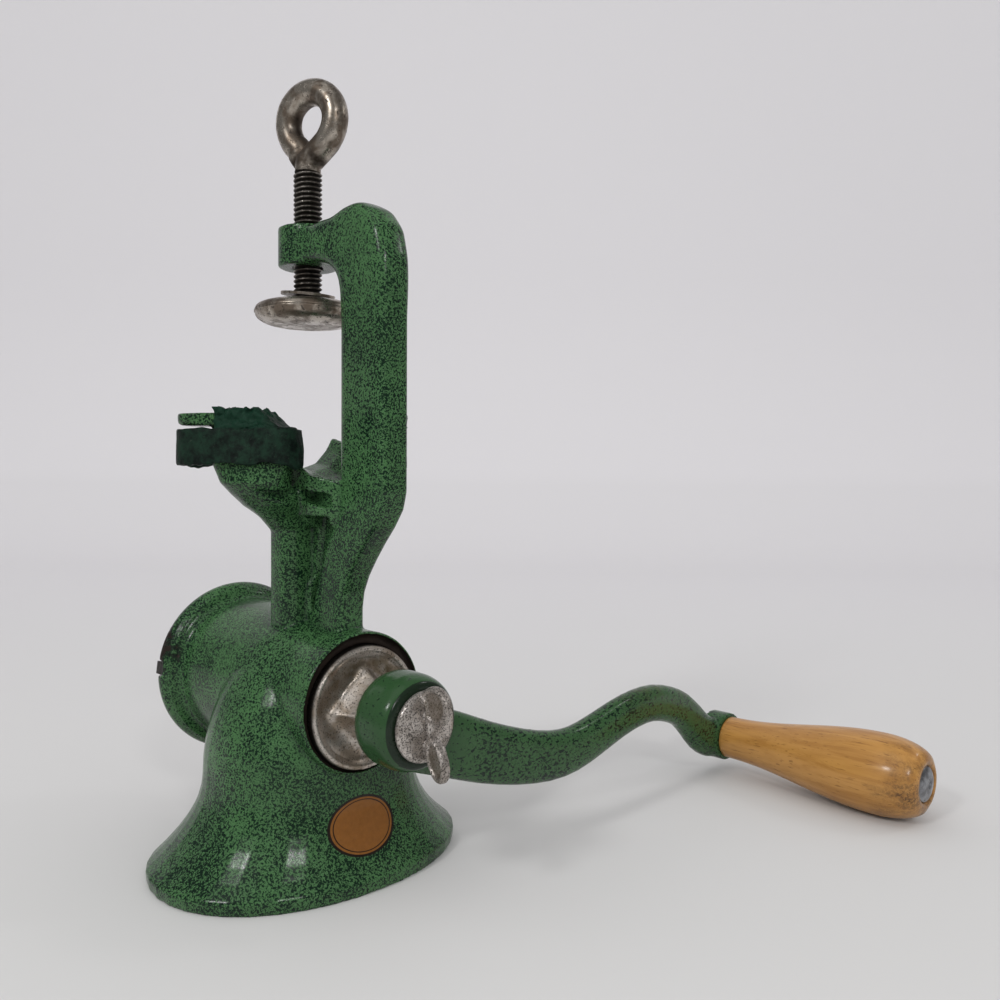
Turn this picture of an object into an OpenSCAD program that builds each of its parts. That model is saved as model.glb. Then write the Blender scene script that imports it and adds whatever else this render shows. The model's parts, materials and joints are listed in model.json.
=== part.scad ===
// Clamp-on mincer, stood upside down on its hopper mouth with the table clamp uppermost.
// Origin: centre of the hopper mouth, on the surface it stands on. +Z up, +X towards the
// crank, and the crank's wooden handle lies towards +Y.

/* [Hopper] */
// Mouth of the hopper, measured along the barrel
mouth_len = 83.4; // [76:0.2:92]
// Mouth of the hopper, measured across the barrel
mouth_wid = 106.8; // [94:0.2:118]
// Neck of the hopper, measured along the barrel
neck_len = 60.5; // [58:0.5:66]
// Neck of the hopper, measured across the barrel
neck_wid = 70; // [66:0.2:78]
// How far the neck's middle lies behind the mouth's
neck_back = 1.4; // [0:0.1:2]
// Height at which the flare has run out into the neck
flare_h = 31; // [26:1:33]
// Height of the rounded lip round the mouth
lip_h = 4; // [3:0.5:5]
// Thickness of the casting at the mouth
mouth_wall = 3.2; // [2.4:0.2:4]
// Throat where it meets the barrel, measured along the barrel
throat_len = 39; // [34:1:40]
// Throat where the flare ends, measured across the barrel
throat_wid = 60; // [50:1:62]

/* [Barrel] */
// Height of the feed screw's line above the hopper mouth
shaft_z = 55.3; // [54:0.1:58]
// Distance from the hopper's middle back to the open rear end
rear_x = 32; // [31:0.5:33]
// Distance from the hopper's middle forward to the outlet face
front_x = 53; // [52:0.5:57]
// Outer radius of the barrel, behind the outlet
barrel_r = 25.4; // [24.6:0.1:26.4]
// Outer radius of the barrel at its rear end
rear_r = 22.5; // [22.3:0.1:24.4]
// Bore in which the flight turns
bore_r = 20.2; // [19.9:0.1:20.8]
// Outer radius of the outlet's rolled rim
rim_r = 31; // [30.4:0.1:32]
// Width of the rolled rim along the barrel
rim_w = 9; // [8:0.5:10]
// Radius of the bare recess round the rear disc
recess_r = 21.6; // [20.8:0.1:22]
// Depth of that recess
recess_h = 1.6; // [1:0.1:2.4]
// How far the barrel and its recess are cast above the screw's line
cast_lift = 1.3; // [0:0.1:1.4]

/* [Feed screw] */
// Radius of the rear disc, which is the screw's rear journal
disc_r = 19.6; // [19:0.1:19.7]
// Radial play of the journal in the barrel
journal_play = 0.08; // [0.03:0.01:0.1]
// Length of the journal in the barrel
journal_len = 7.4; // [5:0.2:8]
// How far the disc stands out of the barrel
disc_proud = 1.3; // [0.8:0.1:2.4]
// Radial play of the flight in the bore
flight_play = 0.9; // [0.5:0.1:1.2]
// Axial advance of the flight for each turn
flight_pitch = 30; // [24:1:36]
// Core radius behind the flight
core_rear_r = 8; // [7.5:0.5:10]
// Core radius at the cutter
core_front_r = 11; // [9:0.5:12]
// Side of the rear square that drives the screw
drive_sq = 12; // [11:0.5:13]
// Side of the front square that carries the cutter
cutter_sq = 11; // [10:0.5:12]
// Radius of the front stud
stud_r = 4; // [3.5:0.1:4.4]

/* [Plate and cutter] */
// Radius of the perforated plate
plate_r = 27; // [26.6:0.1:27.2]
// Thickness of the plate
plate_t = 5; // [4:0.5:6]
// Radius of one hole in the plate
hole_r = 2.4; // [1.8:0.1:2.6]
// Spacing of the holes in the plate
hole_pitch = 6.6; // [6:0.2:8]
// Width of the plate's locating lug
lug_w = 4.4; // [3.5:0.1:5]
// Height of the lug round the rim, in degrees above level
lug_angle = 7; // [0:1:20]
// Thickness of the cutter
cutter_t = 4; // [3:0.5:5]
// Reach of the cutter's blades
cutter_r = 23; // [21:0.5:23.4]
// Radius of the plate's nut
nut_r = 8; // [7:0.5:9]
// Height of the nut
nut_h = 7; // [6:0.5:9]
// Thickness of the nut's wings
nut_wing_t = 3; // [2.5:0.5:4]

/* [Leg and clamp] */
// Front face of the upper leg, forward of the crank
leg_x = 25.1; // [24:0.1:25.8]
// Depth of the upper leg along the barrel
leg_depth = 23.2; // [20:0.2:23.6]
// Thickness of the leg across the barrel
leg_w = 11; // [9:0.5:13]
// Front face of the leg where it grows out of the barrel
root_x = 5.5; // [4:0.5:7]
// Depth of the leg where it grows out of the barrel
root_depth = 20; // [18:0.5:21]
// Clear height between the pads and the clamp boss
jaw_h = 47; // [42:0.5:54]
// Height of the clamp boss itself
boss_h = 13; // [11:0.5:15]
// Radius of the clamp boss
boss_r = 9.8; // [9:0.1:11]
// Height of the shoulder over the top of the clamp arm
shoulder_h = 4.4; // [2:0.2:5.6]
// How far the clamp screw's line lies forward of the hopper's middle
screw_x = 0.5; // [0:0.5:3]

/* [Table pads] */
// Distance of a pad's middle from the middle plane
pad_y = 28; // [27:0.5:30]
// Place of a pad's middle along the barrel
pad_x = 4.3; // [2:0.1:6]
// Turn of a pad's length away from the barrel's line
pad_turn = 40; // [34:1:46]
// Length of a rubber pad
pad_len = 39.8; // [38:0.2:44]
// Width of a rubber pad
pad_w = 16; // [15:0.5:19]
// Height of the underside of the pads
pad_z = 132; // [131:0.5:134]
// Height of a pad's wall
pad_h = 10.5; // [9:0.5:11]
// Width of the cast foot that a pad is pulled over
foot_w = 12; // [10:0.5:12.4]
// Thickness of that foot
foot_t = 5; // [4:0.5:6]
// How far a foot reaches out past its neck at the bare end
foot_over = 1.6; // [0:0.2:2]
// Rubber left on top of a foot
pad_skin = 2; // [1.5:0.1:3]

/* [Clamp screw] */
// Radius of the threaded rod
rod_r = 4.75; // [4.2:0.05:5]
// Height of the shank over the boss, up to the eye
shank_h = 23.5; // [20:0.5:30]
// Radius of the eye, to the middle of its rod
eye_r = 10.4; // [9.6:0.1:12]
// Radius of the rod that the eye is bent from
eye_rod_r = 3.7; // [3.4:0.1:4.2]
// Turn of the eye about the screw's line
eye_turn = 18; // [0:1:90]
// Radius of the swivel cap
cap_r = 17.6; // [16:0.1:19]
// Distance from the boss down to the cap's pressing face
cap_drop = 19.3; // [17:0.1:24]
// Height of the cap's lower dish, up to the rim
dish_h = 4.8; // [4:0.2:6]
// Height of the cap's upper shell, above the rim
shell_h = 4.2; // [3.6:0.2:5]
// Thickness of the cap's sheet metal
sheet_t = 1.2; // [1:0.1:1.5]

/* [Crank] */
// Distance from the feed screw's line to the handle's line
crank_r = 180.9; // [176:0.5:190]
// Fall of the crank below level as it lies
crank_fall = 12.7; // [12:0.1:13]
// Outer radius of the hub
hub_r = 14.7; // [14.2:0.1:15.6]
// Inner face of the hub, back from the hopper's middle
hub_x = 45; // [44:0.5:45.5]
// Length of the hub along the screw
hub_w = 16; // [15.5:0.5:17]
// Middle of the arm where it leaves the hub, back from the hopper's middle
arm_x = 54; // [53.5:0.1:55]
// Middle of the arm where it meets the handle, back from the hopper's middle
arm_end_x = 50; // [49.6:0.1:51]
// Thickness of the arm along the screw
arm_t = 8.5; // [7:0.5:9]
// Width of the arm at the hub
arm_w_hub = 21; // [18:0.5:22]
// Width of the arm at the handle
arm_w_end = 14.4; // [12:0.2:16]
// How far the arm waves to each side of a straight line
arm_wave = 11.3; // [8:0.1:12]
// Radius of the boss that holds the handle's spindle
socket_r = 10; // [9.4:0.1:10.8]
// Length of that boss
socket_w = 9; // [8:0.5:11]

/* [Thumb screw] */
// Radius of the thumb screw's disc
thumb_r = 11.5; // [10:0.1:13]
// Thickness of the disc
thumb_t = 2.6; // [2:0.1:3.5]
// Radius of the thumb screw's shank
thumb_shank_r = 3.8; // [3:0.1:4]
// Length of the shank inside the feed screw
thumb_shank_len = 12; // [10:0.5:13]
// Radius of a wing
wing_r = 5.8; // [5:0.1:7]
// Thickness of a wing
wing_t = 3; // [2:0.5:4]
// Turn of the wings away from upright
wing_turn = 8; // [0:1:90]

/* [Handle] */
// Length of the wooden handle
grip_len = 83.4; // [78:0.2:92]
// Radius of the handle at its neck
grip_neck_r = 8.6; // [8:0.1:9]
// Greatest radius of the handle
grip_r = 15.5; // [14:0.1:15.5]
// Place of the greatest radius, as a share of the length
grip_belly = 0.79; // [0.7:0.01:0.85]
// Radius of the handle's end, round the spindle's head
grip_end_r = 9; // [8.5:0.1:10]
// Radius of the spindle
spindle_r = 3.2; // [2.6:0.1:3.6]
// Radius of the spindle's domed head
head_r = 7; // [6:0.1:7.6]

/* [Hidden] */
$fn = 96;

fit_play = 0.05;          // radial play of a turning fit
seat_gap = 0.3;           // clearance of rubber and loose pieces
eps = 0.01;

enamel = [0.33, 0.52, 0.38];
tin = [0.68, 0.65, 0.6];
steel = [0.55, 0.53, 0.5];
beech = [0.78, 0.57, 0.3];
rubber = [0.1, 0.25, 0.18];

// Places along the feed screw's line, from the outlet back to the crank
outlet_x = -front_x;
plate_x = outlet_x + 0.5;
cutter_x = plate_x + plate_t;
flight_x = cutter_x + cutter_t + 0.5;
journal_r = disc_r + journal_play;
journal_x = rear_x - recess_h - journal_len;
disc_x = rear_x + disc_proud;
strut_x = 1;              // middle of the strut under the fork
dish_x = disc_x - 1.8;    // floor of the disc's dished rear face
hub_end_x = hub_x + hub_w;
thumb_x = hub_end_x + thumb_t;

// Heights of the clamp
foot_top = pad_z + pad_h + 1 + foot_t;
pad_top = foot_top + pad_skin;
boss_z = pad_top + jaw_h;
shank_top = boss_z + boss_h + shank_h;
cap_z = boss_z - cap_drop;
rim_z = cap_z + dish_h;
cap_top = rim_z + shell_h;
head_z = boss_z - 12.5;   // centre of the bend from the leg into the clamp arm
bend_r = leg_x - 10.5;    // inner radius of that bend

// Handle
handle_y = crank_r * cos(crank_fall);
handle_z = shaft_z - crank_r * sin(crank_fall);
grip_x = arm_end_x + arm_t / 2 + 0.35;   // where the handle meets its boss

function ease(u) = (1 - cos(180 * min(1, max(0, u)))) / 2;
function blend(a, b, u) = a + (b - a) * ease(u);

// Points of a rounded outline: n = 2 is an ellipse, larger n is squarer
function oval(a, b, n = 2, count = 32) = [for (i = [0:count - 1])
    let (c = cos(360 * i / count), s = sin(360 * i / count))
    [a * sign(c) * pow(abs(c), 2 / n), b * sign(s) * pow(abs(s), 2 / n)]];

// A level ring of an outline, turned about its own middle
function level_ring(x, y, z, turn, outline) = [for (p = outline)
    [x + p.x * cos(turn) - p.y * sin(turn), y + p.x * sin(turn) + p.y * cos(turn), z]];

// A ring across the middle plane, whose depth points along tilt in that plane
function tilted_ring(x, z, tilt, outline) = [for (p = outline)
    [x + p.x * cos(tilt), p.y, z + p.x * sin(tilt)]];

// Solid through a row of rings with equal numbers of points
module loft(rings) {
    k = len(rings[0]);
    m = len(rings);
    points = [for (ring = rings) each ring];
    sides = [for (r = [0:m - 2], i = [0:k - 1])
        let (a = r * k + i, b = r * k + (i + 1) % k)
        each [[a, a + k, b + k], [a, b + k, b]]];
    first = [for (i = [0:k - 1]) i];
    last = [for (i = [k - 1:-1:0]) (m - 1) * k + i];
    polyhedron(points, concat(sides, [first, last]));
}

// Places a shape drawn along +Z on the feed screw's line, from x back towards the crank
module on_shaft(x) {
    translate([x, 0, shaft_z]) rotate([0, 90, 0]) children();
}

// Turns the crank's pieces from straight along +Y down to where they lie
module on_crank() {
    translate([0, 0, shaft_z]) rotate([-crank_fall, 0, 0]) children();
}

module on_handle(x) {
    translate([x, handle_y, handle_z]) rotate([0, 90, 0]) children();
}

// ---- Casting ----

// Share of the way from the mouth's size to the neck's, at a height
function flare(z) = let (v = max(0, (z - lip_h) / (flare_h - lip_h))) v * (2 - v);

// Outer form of the hopper: lip, flared mouth, neck, and a shoulder that closes over the barrel
module hopper_outside() {
    lip_round = 0.5;
    top_z = shaft_z + cast_lift + rear_r - 0.3;
    heights = concat([0, lip_h / 3], [for (i = [0:7]) lip_h + (flare_h - lip_h) * i / 7]);
    mouth = [for (z = heights)
        let (u = flare(z), under = lip_round * pow(max(0, 1 - z / lip_h), 2))
        level_ring(neck_back * u, 0, z, 0, oval(mouth_len / 2 + (neck_len - mouth_len) / 2 * u - under,
            mouth_wid / 2 + (neck_wid - mouth_wid) / 2 * u - under, 2.1 + 0.2 * u, 40))];
    shoulder = [for (i = [1:9]) let (u = i / 9.3, s = sqrt(1 - u * u))
        level_ring(neck_back, 0, flare_h + (top_z - flare_h) * u, 0,
            oval(neck_len / 2 * s, neck_wid / 2 * s, 2.3, 40))];
    loft(concat(mouth, shoulder));
}

// Inner form of the hopper, down through the throat into the barrel
module hopper_inside() {
    deep = [for (i = [-1:8]) let (z = flare_h * i / 8, u = flare(z), v = max(0, i / 8),
            wall_x = mouth_wall + ((neck_len - throat_len) / 2 - mouth_wall) * v * v,
            wall_y = mouth_wall + ((neck_wid - throat_wid) / 2 - mouth_wall) * v * v)
        level_ring(neck_back * u, 0, z, 0, oval(mouth_len / 2 + (neck_len - mouth_len) / 2 * u - wall_x,
            mouth_wid / 2 + (neck_wid - mouth_wid) / 2 * u - wall_y, 2.1 + 0.2 * u))];
    throat = [for (i = [1:4]) let (u = i / 4)
        level_ring(neck_back, 0, flare_h + (shaft_z - flare_h) * u, 0,
            oval(throat_len / 2, blend(throat_wid / 2, bore_r - 1.5, u), 2.3))];
    loft(concat(deep, throat));
}

// Barrel and rolled outlet rim, turned about a line just over the feed screw's
module barrel_outside() {
    back = rear_x - outlet_x;
    fillet = 4;
    slim_from = front_x;      // the barrel slims down between here and the next, to its rear end
    slim_to = front_x + 18;
    translate([0, 0, cast_lift]) on_shaft(outlet_x) rotate_extrude()
        polygon(concat(
            [[0, 0], [rim_r - rim_w / 2, 0]],
            [for (a = [-75:15:75]) [rim_r - rim_w / 2 + rim_w / 2 * cos(a), rim_w / 2 + rim_w / 2 * sin(a)]],
            [for (a = [0:15:90]) [barrel_r + fillet * (1 - sin(a)), rim_w - 0.3 + fillet * (1 - cos(a))]],
            [for (u = [0:0.25:1]) [blend(barrel_r, rear_r, u), slim_from + (slim_to - slim_from) * u]],
            [[rear_r, back - 0.6], [rear_r - 0.5, back], [0, back]]));
}

// Bores of the barrel: plate seat, cutter chamber, flight bore, rear journal and recess
module barrel_bores() {
    on_shaft(outlet_x - 1) cylinder(r = plate_r + 0.15, h = cutter_x - outlet_x + 1);
    on_shaft(cutter_x - eps) cylinder(r = cutter_r + 1, h = cutter_t + 0.5);
    on_shaft(cutter_x) cylinder(r = bore_r, h = journal_x - cutter_x);
    on_shaft(journal_x - eps) cylinder(r = journal_r, h = journal_len + recess_h + 1);
    translate([0, 0, cast_lift]) on_shaft(rear_x - recess_h) cylinder(r = recess_r, h = recess_h + 1);
    on_shaft(outlet_x - 1) lug(lug_w + 1, plate_r - 2, rim_r + 1, cutter_x - outlet_x + 1);
}

// Bar that reaches out from the shaft line on the near side, at the lug's angle
module lug(width, from_r, to_r, height) {
    rotate(-lug_angle) translate([-width / 2, -to_r, 0]) cube([width, to_r - from_r, height]);
}

// Leg, shoulder and clamp arm, in one sweep from the barrel to the boss
module leg_and_arm() {
    root_z = shaft_z + 18;
    bend_from = shaft_z + 30;
    bend_to = shaft_z + 68;
    levels = [root_z, bend_from, for (i = [1:7]) bend_from + (bend_to - bend_from) * i / 7,
        bend_to + 18, head_z - 14, head_z];
    leg = [for (z = levels) let (u = (z - bend_from) / (bend_to - bend_from),
            front = blend(root_x, leg_x, u), depth = blend(root_depth, leg_depth, 2 * u - 1))
        tilted_ring(front + depth / 2, z, 0, oval(depth / 2, leg_w / 2, 6, 28))];
    reach = bend_r + leg_depth;
    arm_top = boss_z + boss_h - 1;
    head = [for (a = [14, 27, 38, 48, 56, 62, 67, 72, 78, 84, 90])
        let (over = arm_top + shoulder_h * (1 - ease((a - 46) / 22)) - head_z,
            outer = reach * over / pow(pow(reach * sin(a), 3.3) + pow(over * cos(a), 3.3), 1 / 3.3),
            inner = blend(bend_r, boss_z - head_z, a / 90))
        tilted_ring(leg_x - bend_r + (inner + outer) / 2 * cos(a), head_z + (inner + outer) / 2 * sin(a),
            a, oval((outer - inner) / 2, leg_w / 2 + a / 70, 5, 28))];
    tip = tilted_ring(-screw_x + boss_r * 0.4, boss_z + boss_h / 2, 90,
        oval(boss_h / 2 - 0.6, boss_r * 0.86, 5, 28));
    loft(concat(leg, head, [tip]));
}

// Broad strut under the forked table rest
module strut() {
    loft([for (z = [shaft_z + 16, shaft_z + 34, shaft_z + 46, shaft_z + 58])
        level_ring(strut_x, 0, z, 0, oval(6.2, 13.4, 4, 24))]);
}

// Thin web between the strut and the leg
module web() {
    rotate([90, 0, 0]) linear_extrude(6, center = true)
        polygon([[strut_x, shaft_z + 18], [root_x + 8, shaft_z + 18], [root_x + 10, shaft_z + 36],
            [leg_x + 3, shaft_z + 62], [leg_x + 1, shaft_z + 68], [strut_x, shaft_z + 68]]);
}

// One horn of the fork, swept out from the strut to the neck of its foot, on the near side
module horn() {
    // height over the screw's line, along x, outward, half length, half width, share of the turn
    sections = [[48.5, 1, 5, 5.5, 7.6, 0], [54.5, 1, 5.6, 6, 8.2, 0], [59, 1.5, 9, 7, 9, 0.15],
        [63, 3.5, 15, 9.5, 8.6, 0.55], [67, 5.5, 20, 10, 8.8, 0.8], [70.5, 7.2, 24, 10.6, 8.1, 0.95],
        [pad_z - shaft_z - 0.4, pad_x + 3.3, pad_y - 2.8, 12.6, 5.9, 1],
        [foot_top - foot_t - shaft_z + eps, pad_x + 3.3, pad_y - 2.8, 12.6, 5.5, 1]];
    loft([for (s = sections)
        level_ring(s[1], -s[2], shaft_z + s[0], pad_turn * s[5], oval(s[3], s[4], 2.6, 28))]);
}

// U-shaped saddle between the horns, high at the front and low at the leg
module saddle() {
    // along x, half width, height of the walls and of the trough over the screw's line
    sections = [[-6.4, 14.5, 86, 75], [3, 14, 84, 74], [9, 11.8, 78, 72], [17, 11.3, 73, 70],
        [27, 5, 71, 69]];
    wall = 1.4;
    loft([for (s = sections)
        let (deep = s[2] - s[3],
            half = [[s[1] * 0.5, 56], [s[1] * 0.85, 60], [s[1], 67], [s[1], s[2]],
                [s[1] - wall, s[2]], [(s[1] - wall) * 0.82, s[3] + deep * 0.62],
                [(s[1] - wall) * 0.5, s[3] + deep * 0.2], [0, s[3]]])
        [for (p = concat(half, [for (i = [6:-1:0]) [-half[i].x, half[i].y]])) [s[0], p.x, shaft_z + p.y]]]);
}

// Outline with two round ends, along x
module slot_shape(length, width) {
    half = (length - width) / 2;
    for (x = [-half, half]) translate([x, 0]) circle(d = width);
    square([2 * half, width], center = true);
}

// Places a child on the near (side = -1) or far (side = 1) table pad
module on_pad(side) {
    translate([pad_x, side * pad_y, 0]) rotate(-side * pad_turn) children();
}

// Outline of a foot with a clearance round it, longer than its neck at the bare end
module foot_shape(gap) {
    translate([-foot_over / 2, 0])
        slot_shape(pad_len - pad_w + foot_w + foot_over + 2 * gap, foot_w + 2 * gap);
}

// Cast foot at the end of a horn
module foot() {
    translate([0, 0, foot_top - foot_t]) linear_extrude(foot_t) foot_shape(0);
}

module clamp_boss() {
    translate([-screw_x, 0, boss_z]) cylinder(r = boss_r, h = boss_h);
}

module casting() {
    color(enamel) difference() {
        union() {
            difference() {
                union() {
                    hopper_outside();
                    barrel_outside();
                    leg_and_arm();
                    strut();
                    web();
                }
                hopper_inside();
                barrel_bores();
            }
            saddle();
            horn();
            mirror([0, 1, 0]) horn();
            for (side = [-1, 1]) on_pad(side) foot();
            clamp_boss();
        }
        translate([-screw_x, 0, boss_z - 1]) cylinder(r = rod_r + fit_play, h = boss_h + 2);
    }
}

// ---- Feed screw ----

// Bearing surface, bead and dished face of the rear disc
module rear_disc() {
    length = disc_x - journal_x;
    on_shaft(journal_x) rotate_extrude()
        polygon([[0, 0], [disc_r, 0], [disc_r, length - 0.8], [disc_r - 0.8, length],
            [disc_r - 2, length], [disc_r - 3.4, dish_x - journal_x], [0, dish_x - journal_x]]);
}

// Flight of the screw: one wedge-shaped rib wound round the core, rising out of it at the front
module flight() {
    length = journal_x - flight_x;
    turn = 360 * length / flight_pitch;
    steps = ceil(turn / 18);
    root_r = 6.5;
    rib = concat([for (a = [-42, -30]) [0, a]], [for (a = [-22:11:22]) [1, a]], [for (a = [30, 42]) [0, a]]);
    on_shaft(flight_x + 0.5) loft([for (i = [0:steps])
        let (tip_r = i == 0 ? core_front_r - 2 : bore_r - flight_play)
        [for (p = rib) let (r = p.x == 1 ? tip_r : root_r, a = p.y - turn * i / steps)
            [r * cos(a), r * sin(a), length * i / steps]]]);
}

module feed_screw() {
    color(tin) difference() {
        union() {
            rear_disc();
            on_shaft(flight_x) cylinder(r1 = core_front_r, r2 = core_rear_r, h = journal_x - flight_x + eps);
            flight();
            // pyramid that runs out into the driving square
            on_shaft(dish_x - eps)
                cylinder(r1 = disc_r - 5.6, r2 = drive_sq / sqrt(2), h = hub_x - 3 - dish_x, $fn = 4);
            on_shaft(hub_x - 3 - eps) rotate(45) translate([-drive_sq / 2, -drive_sq / 2, 0])
                cube([drive_sq, drive_sq, hub_w + 2]);
            on_shaft(cutter_x) rotate(45) translate([-cutter_sq / 2, -cutter_sq / 2, 0])
                cube([cutter_sq, cutter_sq, flight_x - cutter_x + eps]);
            on_shaft(outlet_x - 9) cylinder(r = stud_r, h = cutter_x - outlet_x + 9 + eps);
        }
        on_shaft(hub_end_x - thumb_shank_len - 2)
            cylinder(r = thumb_shank_r + fit_play, h = thumb_shank_len + 3);
    }
}

// ---- Cutter, plate and front nut ----

module cutter() {
    color(steel) on_shaft(cutter_x) difference() {
        union() {
            cylinder(r = cutter_sq * 0.86, h = cutter_t);
            for (i = [0:3]) rotate(90 * i + 45) linear_extrude(cutter_t - 0.8)
                polygon([[7, -5], [cutter_r - 1, -5], [cutter_r, -2], [cutter_r - 3, 1.5], [7, 4.5]]);
        }
        rotate(45) translate([-cutter_sq / 2 - fit_play, -cutter_sq / 2 - fit_play, -1])
            cube([cutter_sq + 2 * fit_play, cutter_sq + 2 * fit_play, cutter_t + 2]);
    }
}

module mincing_plate() {
    reach = plate_r - hole_r - 1.6;
    rows = floor(reach / hole_pitch) + 1;
    color(steel) on_shaft(plate_x) difference() {
        union() {
            cylinder(r = plate_r, h = plate_t);
            lug(lug_w, plate_r - 3, rim_r - 0.7, plate_t);
        }
        translate([0, 0, -1]) cylinder(r = stud_r + fit_play, h = plate_t + 2);
        for (i = [-rows:rows], j = [-rows:rows]) {
            spot = hole_pitch * [i + j / 2, j * sqrt(3) / 2];
            if (norm(spot) < reach && norm(spot) > stud_r + hole_r + 0.6)
                translate([spot.x, spot.y, -1]) cylinder(r = hole_r, h = plate_t + 2, $fn = 24);
        }
    }
}

module plate_nut() {
    color(tin) on_shaft(plate_x - nut_h) difference() {
        union() {
            cylinder(r1 = 0.8 * nut_r, r2 = nut_r, h = nut_h);
            for (side = [-1, 1]) translate([0, side * 1.4 * nut_r, 0]) rotate([0, 90, 0])
                cylinder(r = 0.6 * nut_r, h = nut_wing_t, center = true);
            translate([-nut_wing_t / 2, -1.4 * nut_r, 0]) cube([nut_wing_t, 2.8 * nut_r, 0.5 * nut_r]);
        }
        translate([0, 0, -nut_r]) cylinder(r = stud_r + fit_play, h = nut_h + 2 * nut_r);
    }
}

// ---- Crank and thumb screw ----

// Middle of the arm: share of the way to the handle, and share of the wave off the straight line
arm_line = [[0.03, -0.4], [0.107, -0.57], [0.19, -0.77], [0.28, -0.88], [0.365, -0.84], [0.43, -0.61],
    [0.49, -0.17], [0.555, 0.38], [0.615, 0.77], [0.68, 1], [0.75, 1], [0.81, 0.84], [0.865, 0.45],
    [0.905, 0.1], [0.95, -0.1], [1, -0.08]];

// Smooth curve through the points of the arm's middle, in millimetres
function arm_at(t) =
    let (n = len(arm_line) - 1, i = max(0, min(n - 1, floor(t))), f = t - i,
        o = arm_line[max(0, i - 1)], a = arm_line[i], b = arm_line[i + 1], c = arm_line[min(n, i + 2)],
        p = a + ((b - o) * f + (2 * o - 5 * a + 4 * b - c) * f * f
            + (3 * a - o - 3 * b + c) * f * f * f) / 2)
    [crank_r * p.x, arm_wave * p.y];

// Swept oval arm, from inside the hub to the boss at its end
module arm() {
    last = 30;
    loft([for (i = [0:last])
        let (t = (len(arm_line) - 1) * i / last, here = arm_at(t), way = arm_at(t + 0.05) - arm_at(t - 0.05),
            slope = atan2(way.y, way.x), u = here.x / crank_r,
            width = blend(arm_w_hub, arm_w_end, u / 0.7) + 2.4 * ease((u - 0.8) / 0.15),
            middle = blend(arm_x, arm_end_x, (u - 0.55) / 0.35))
        [for (p = oval(arm_t / 2, width / 2, 2.5, 20))
            [middle - p.x, here.x - p.y * sin(slope), here.y + p.y * cos(slope)]]]);
}

// Barrel-shaped hub, rounded at both ends
module hub() {
    inner_round = 6;
    outer_round = 7;
    on_shaft(hub_x) rotate_extrude()
        polygon(concat([[0, 0]],
            [for (a = [-90:15:0]) [hub_r - 2.6 * (1 - cos(a)), inner_round * (1 + sin(a))]],
            [for (a = [15:15:90]) [hub_r - 3 * (1 - cos(a)), hub_w - outer_round * (1 - sin(a))]],
            [[0, hub_w]]));
}

module crank_arm() {
    color(enamel) difference() {
        union() {
            hub();
            on_crank() arm();
            on_handle(grip_x - socket_w) cylinder(r = socket_r, h = socket_w);
        }
        on_shaft(hub_x - 1) rotate(45) translate([-drive_sq / 2 - fit_play, -drive_sq / 2 - fit_play, 0])
            cube([drive_sq + 2 * fit_play, drive_sq + 2 * fit_play, hub_w + 2]);
        on_handle(grip_x - 2 * socket_w) cylinder(r = spindle_r + 0.02, h = 4 * socket_w);
    }
}

// Cast disc with two wings, on a shank that screws into the feed screw
module thumb_screw() {
    apart = 0.7 * thumb_r;
    color(tin) union() {
        on_shaft(hub_end_x) cylinder(r = thumb_r, h = thumb_t);
        on_shaft(hub_end_x - thumb_shank_len) cylinder(r = thumb_shank_r, h = thumb_shank_len + eps);
        on_shaft(thumb_x) rotate(wing_turn) for (side = [-1, 1])
            translate([side * apart, 0, 0.62 * wing_r]) rotate([90, 0, 0])
                cylinder(r = wing_r, h = wing_t, center = true);
        on_shaft(thumb_x - eps) rotate(wing_turn) translate([-apart, -0.6 * wing_t, 0])
            cube([2 * apart, 1.2 * wing_t, wing_t]);
    }
}

// ---- Handle ----

module handle_spindle() {
    end_x = grip_x + grip_len;
    color(steel) union() {
        on_handle(grip_x - socket_w) cylinder(r = spindle_r, h = socket_w + grip_len - 1);
        on_handle(end_x - 1.5) intersection() {
            cylinder(r = head_r, h = 3);
            translate([0, 0, 3 - head_r * 2.2]) sphere(r = head_r * 2.2);
        }
    }
}

module wood_handle() {
    profile = [for (i = [0:20]) let (u = i / 20, v = (u - grip_belly) / (1 - grip_belly))
        [u < grip_belly ? grip_neck_r + (grip_r - grip_neck_r) * ease(pow(u / grip_belly, 1.05))
            : grip_end_r + (grip_r - grip_end_r) * sqrt(max(0, 1 - v * v)), grip_len * u]];
    color(beech) on_handle(grip_x) difference() {
        rotate_extrude() polygon(concat([[0, 0]], profile, [[0, grip_len]]));
        translate([0, 0, -1]) cylinder(r = spindle_r + fit_play, h = grip_len + 2);
        translate([0, 0, grip_len - 1.5]) cylinder(r = head_r + seat_gap, h = 2);
    }
}

// ---- Clamp screw, swivel cap and table pads ----

module clamp_screw() {
    eye_z = shank_top + eye_r + eye_rod_r - 3;
    color(steel) translate([-screw_x, 0, 0]) union() {
        translate([0, 0, rim_z - 1]) cylinder(r = rod_r, h = shank_top - rim_z + 1);
        translate([0, 0, cap_z + sheet_t + seat_gap]) cylinder(r = rod_r + 2.4, h = 2.8);
        rotate(eye_turn) translate([1.4, 0, eye_z]) rotate([90, 0, 0])
            rotate_extrude() translate([eye_r, 0]) circle(r = eye_rod_r);
    }
}

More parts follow.
